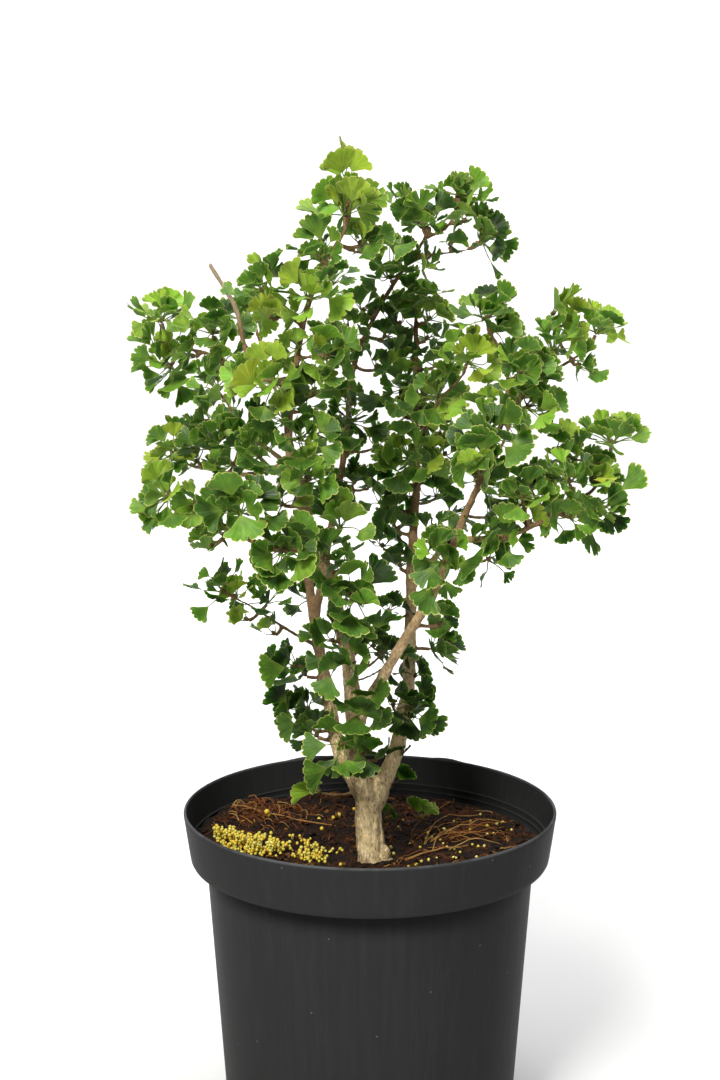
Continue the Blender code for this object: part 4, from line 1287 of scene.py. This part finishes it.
def placeLeaf(templates, tube, seat, chance, tone, yellowness):
    shape = chance.choice(templates)
    flat = placesOf(shape)
    reach = min(seat["width"], leafLook["widest"] * mm) / np.ptp(flat[:, 0]) * chance.uniform(0.92, 1.08)
    cup, bow, fold, ruffle, waves = (
        chance.uniform(*leafLook[key]) for key in ("cup", "bow", "fold", "ruffle", "waves"))
    phase, lean = chance.uniform(0.0, 6.0), chance.uniform(-0.12, 0.12)
    x = flat[:, 0] * chance.uniform(0.92, 1.05)
    y = flat[:, 1] + lean * flat[:, 0]
    lift = cup * x * x + bow * y * y + fold * np.abs(x) * y
    lift += ruffle * (x * x + y * y) * np.sin(np.arctan2(x, y) * waves + phase)
    twist = chance.gauss(0.0, leafLook["twist"])
    across = seat["across"] * math.cos(twist) + seat["normal"] * math.sin(twist)
    normal = seat["normal"] * math.cos(twist) - seat["across"] * math.sin(twist)
    height = flat[:, 2] + lift
    places = np.array(seat["base"]) + reach * (
        x[:, None] * np.array(across) + y[:, None] * np.array(seat["along"]) + height[:, None] * np.array(normal))
    leaf = copyAs(shape, places)
    paint(leaf, "tone", tone)
    paint(leaf, "yellowness", yellowness)
    # the stalk leaves the bud, bends and runs into the blade
    rise = seat["base"] - seat["start"]
    girths, points = leafLook["stalkGirths"], []
    for step in range(len(girths)):
        t = step / (len(girths) - 1)
        bend = (unit(rise) - seat["along"]) * rise.length * 0.35 * math.sin(math.pi * t) * t
        points.append(seat["start"].lerp(seat["base"], t) + bend)
    points[-1] = points[-1] + seat["along"] * 1.2 * mm
    radius = leafLook["stalkRadius"] * mm
    stalk = bentTube(tube, points, [radius * part for part in girths])
    paint(stalk, "tone", tone)
    return [leaf, stalk]


def growSeat(chance, foot, axis, width, crowd, cover):
    # the roomiest of several places for one more leaf round a bud. Most blades stand up and face outwards, and
    # the cover leaves have short stalks and stand over the bud
    outwards = unit(Vector((foot.x, foot.y - 0.01, 0.0)))
    side = unit(axis.orthogonal())
    best, bestGap, tries = None, -1.0, leafLook["tries"]
    while best is None or tries > 0:
        tries -= 1
        lean = math.radians(chance.uniform(*leafLook["coverLean" if cover else "lean"]))
        turn = chance.uniform(0.0, math.tau)
        aside = side * math.cos(turn) + axis.cross(side) * math.sin(turn)
        stalk = axis * math.cos(lean) + aside * math.sin(lean)
        start = foot + aside * 1.1 * mm + axis * 1.4 * mm
        base = start + stalk * chance.uniform(*leafLook["coverStalkLength" if cover else "stalkLength"]) * mm
        rising = cover or chance.random() < leafLook["risingShare"]
        along = stalk + up * chance.uniform(*leafLook["rise" if rising else "hang"])
        facing = outwards * 0.6 + Vector(leafLook["facing"]) + Vector([chance.uniform(-0.7, 0.7) for _ in range(3)])
        if unit(along).cross(unit(facing)).length < 0.3:
            continue
        size = width * mm * chance.uniform(*leafLook["sizes"])
        seat = makeSeat(start, base, along, facing, size)
        gaps = np.linalg.norm(np.array(crowd) - np.array(seat["middle"]), axis=1)
        if gaps.min() > bestGap:
            best, bestGap = seat, gaps.min()
    crowd.append(tuple(best["middle"]))
    return best


def stripesOf(across, patches, pace, wander):
    # stripes side by side that wander with the patches
    bent = plus(times(across, pace), times(patches, wander))
    return times(plus(calc("SINE", bent), 1.0), 0.5)


def makeLeafMaterial():
    material, shader, place = newMaterial("ginkgoLeaf")
    leafMap = addNode(shader.id_data, "ShaderNodeUVMap", uv_map="UVMap")
    across, out, _ = partsOf(leafMap.outputs["UV"])
    tone, stemness, underside = layerOf(place, "tone"), layerOf(place, "stemness"), layerOf(place, "underside")
    patches = noiseOf(place, 130.0, 3.0)
    # the painted tone of each leaf, with random patches, runs its colour from dark, which is painted shade, to
    # bright, which is painted light
    blended = plus(tone, times(calc("SUBTRACT", patches, 0.5), 0.55))
    colour = colourSteps(blended, ((0.05, leafLook["dark"]), (0.5, leafLook["mid"])))
    lively = mixColours(layerOf(place, "yellowness"), leafLook["bright"], leafLook["yellow"])
    colour = mixColours(ramp(blended, 0.0, 1.0, 0.45, 1.0), colour, lively)
    # fine veins and broader pleats run from the stalk to the margin
    veins = stripesOf(across, patches, *leafLook["veins"])
    veinShare = times(veins, ramp(out, 0.05, 0.25, 0.15, 0.7))
    colour = mixColours(veinShare, colour, mixColours(0.4, colour, leafLook["bright"]))
    # the pleats also darken the colour in stripes: painted shade in the folds
    pleats = stripesOf(across, patches, *leafLook["pleats"])
    pleatShadeShare = times(pleats, ramp(out, 0.0, 0.22, 0.15, 0.6))
    colour = mixColours(pleatShadeShare, colour, mixColours(0.6, colour, leafLook["dark"]))
    sideways = calc("ABSOLUTE", calc("SUBTRACT", across, 0.5))
    rim = calc("MAXIMUM", ramp(out, 0.0, 1.0, 0.935, 0.985), ramp(sideways, 0.0, 0.8, 0.476, 0.496))
    isStalk = ramp(stemness, 0.0, 1.0, 0.4, 0.6)
    isBud = ramp(stemness, 0.0, 1.0, 1.4, 1.6)
    colour = layered(
        colour,
        (ramp(out, 0.55, 0.0, 0.05, 0.42), leafLook["stalk"]),
        # the underside, the rim and the stalk colours follow the tone, so they carry the painted light and shade too
        (times(underside, ramp(tone, 0.22, 0.6, 0.1, 0.6)), leafLook["under"]),
        (times(rim, ramp(tone, 0.2, 0.95, 0.05, 0.5)), leafLook["rim"]),
        (isStalk, mixColours(ramp(tone, 0.7, 0.0), leafLook["stalk"], leafLook["dark"])),
        (isBud, leafLook["budScale"]),
    )
    rough = plus(ramp(patches, 0.34, 0.50), times(underside, 0.2))
    coat(shader, colour, rough, leafLook["gloss"])
    relief = plus(times(veins, 0.4), times(pleats, 1.1))
    relief = times(relief, calc("SUBTRACT", 1.0, isStalk))
    bumped(shader, relief, 0.35, 0.5 * mm)
    for name, value in (("Weight", leafLook["glow"]), ("Radius", leafLook["glowColour"]),
                        ("Scale", leafLook["glowDepth"] * mm)):
        shader.inputs[f"Subsurface {name}"].default_value = value
    return material


# how much brighter than their place in the crown these tufts are: painted light, which also makes their leaves
# yellower
brightTufts = {
    "leaves_crown_bright": 0.35, "leaves_centre_bright": 0.42, "leaves_left_bright": 0.28,
    "leaves_left_stem_high": 0.18, "leaves_right_high_tip": 0.3, "leaves_right_tip": 0.22,
    "leaves_left_high_tip": 0.12, "leaves_crown_top": 0.30, "leaves_left_middle_tip": 0.2,
    "leaves_left_low_tip": 0.18, "leaves_right_top_tip": 0.12, "leaves_centre_middle": 0.2,
    "leaves_centre_right": 0.2, "leaves_centre_high": 0.15, "leaves_centre_right_top": 0.1,
}


# painted light and shade: leaves at the outside, the top and the bottom are brighter than those inside and behind
crownLight = {
    "least": 0.07,
    "outside": 0.30,
    "top": 0.25,
    "bottom": 0.35,
    "behind": 0.0011,       # taken off for each mm
    "halfWidth": 135.0,
    "halfDepth": 100.0,
    "foot": 230.0,
    "height": 340.0,
}


def lightAt(place):
    x, y, z = (part / mm for part in place)
    outness = min(1.0, math.hypot(x / crownLight["halfWidth"], (y - 15.0) / crownLight["halfDepth"]))
    height = (z - crownLight["foot"]) / crownLight["height"]
    low = max(0.0, 0.3 - height)
    light = crownLight["least"] + crownLight["outside"] * outness + crownLight["top"] * height
    return light + crownLight["bottom"] * low - crownLight["behind"] * max(0.0, y - 10.0)


# how many leaves are added to a tuft of the CAD model, and their width in mm, where it isn't the usual
extraLeaves = {
    "leaves_crown_top": (6, 27), "leaves_low_front_base": (0, 20), "leaves_low_right": (1, 20),
    "leaves_low_front": (1, 22), "leaves_low_back_left": (2, 20), "leaves_low_right_outer": (3, 19),
    "leaves_low_front_left": (2, 20), "leaves_middle_front": (3, 22), "leaves_low_left_tip": (3, 15),
    "leaves_low_left_inner": (2, 13),
}


def makeCrown():
    chance = random.Random(5)
    templates = [makeLeafTemplate(number, shape) for number, shape in enumerate(leafLook["shapes"])]
    tube = makeTubeTemplate(5, 4)
    paintLeafParts(tube, 1.0)
    budTemplate = makeBudTemplate()
    leafMaterial = makeLeafMaterial()
    tufts, crowd = [], []
    for name in sorted(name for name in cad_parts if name.startswith("leaves_")):
        foot, axis, seats = readTuft(name)
        crowd += [tuple(seat["middle"]) for seat in seats]
        usual = (leafLook["extraOnTuft"], sum(seat["width"] for seat in seats) / len(seats) / mm)
        tufts.append((name, foot, axis, seats, brightTufts.get(name, 0.0), *extraLeaves.get(name, usual)))
    for number, (x, y, z, count, width, bright) in enumerate(extraTufts):
        # these lean out from the crown's middle, up and to the front
        axis = unit(Vector((x * 0.01, (y - 10.0) * 0.008 - 0.25, 0.75)))
        brighter = bright - leafLook["betweenDarker"]
        tufts.append((f"between_{number:02d}", Vector((x, y, z)) * mm, axis, [], brighter, count, width))
    makeWood([(foot / mm, axis) for _, foot, axis, *_ in tufts])
    for name, foot, axis, seats, brighter, count, width in tufts:
        pieces = []
        added = [growSeat(chance, foot, axis, width, crowd, order < leafLook["coverLeaves"])
                 for order in range(count)]
        for seat in seats + added:
            # the tone is painted light and shade from the leaf's place and its tuft, with some at random
            tone = lightAt(seat["middle"]) + brighter + chance.gauss(0.0, leafLook["toneSpread"])
            yellowness = chance.gauss(*leafLook["yellowness"]) + max(0.0, brighter)
            yellowness = max(0.0, min(1.0, yellowness))
            pieces += placeLeaf(templates, tube, seat, chance, max(0.0, min(1.0, tone)), yellowness)
        side = unit(axis.orthogonal())
        turn = np.array((side, axis.cross(side), axis))
        budPlaces = placesOf(budTemplate) * np.array(leafLook["budSize"]) * mm @ turn + np.array(foot)
        pieces.append(copyAs(budTemplate, budPlaces))
        tuft = joinPieces(pieces, name.replace("leaves_", "tuft_"))
        finishPiece(tuft, leafMaterial, "leaf", *([name] if seats else []))
    for template in templates + [tube, budTemplate]:
        bpy.data.objects.remove(template)


makeCrown()
print("crown ready")
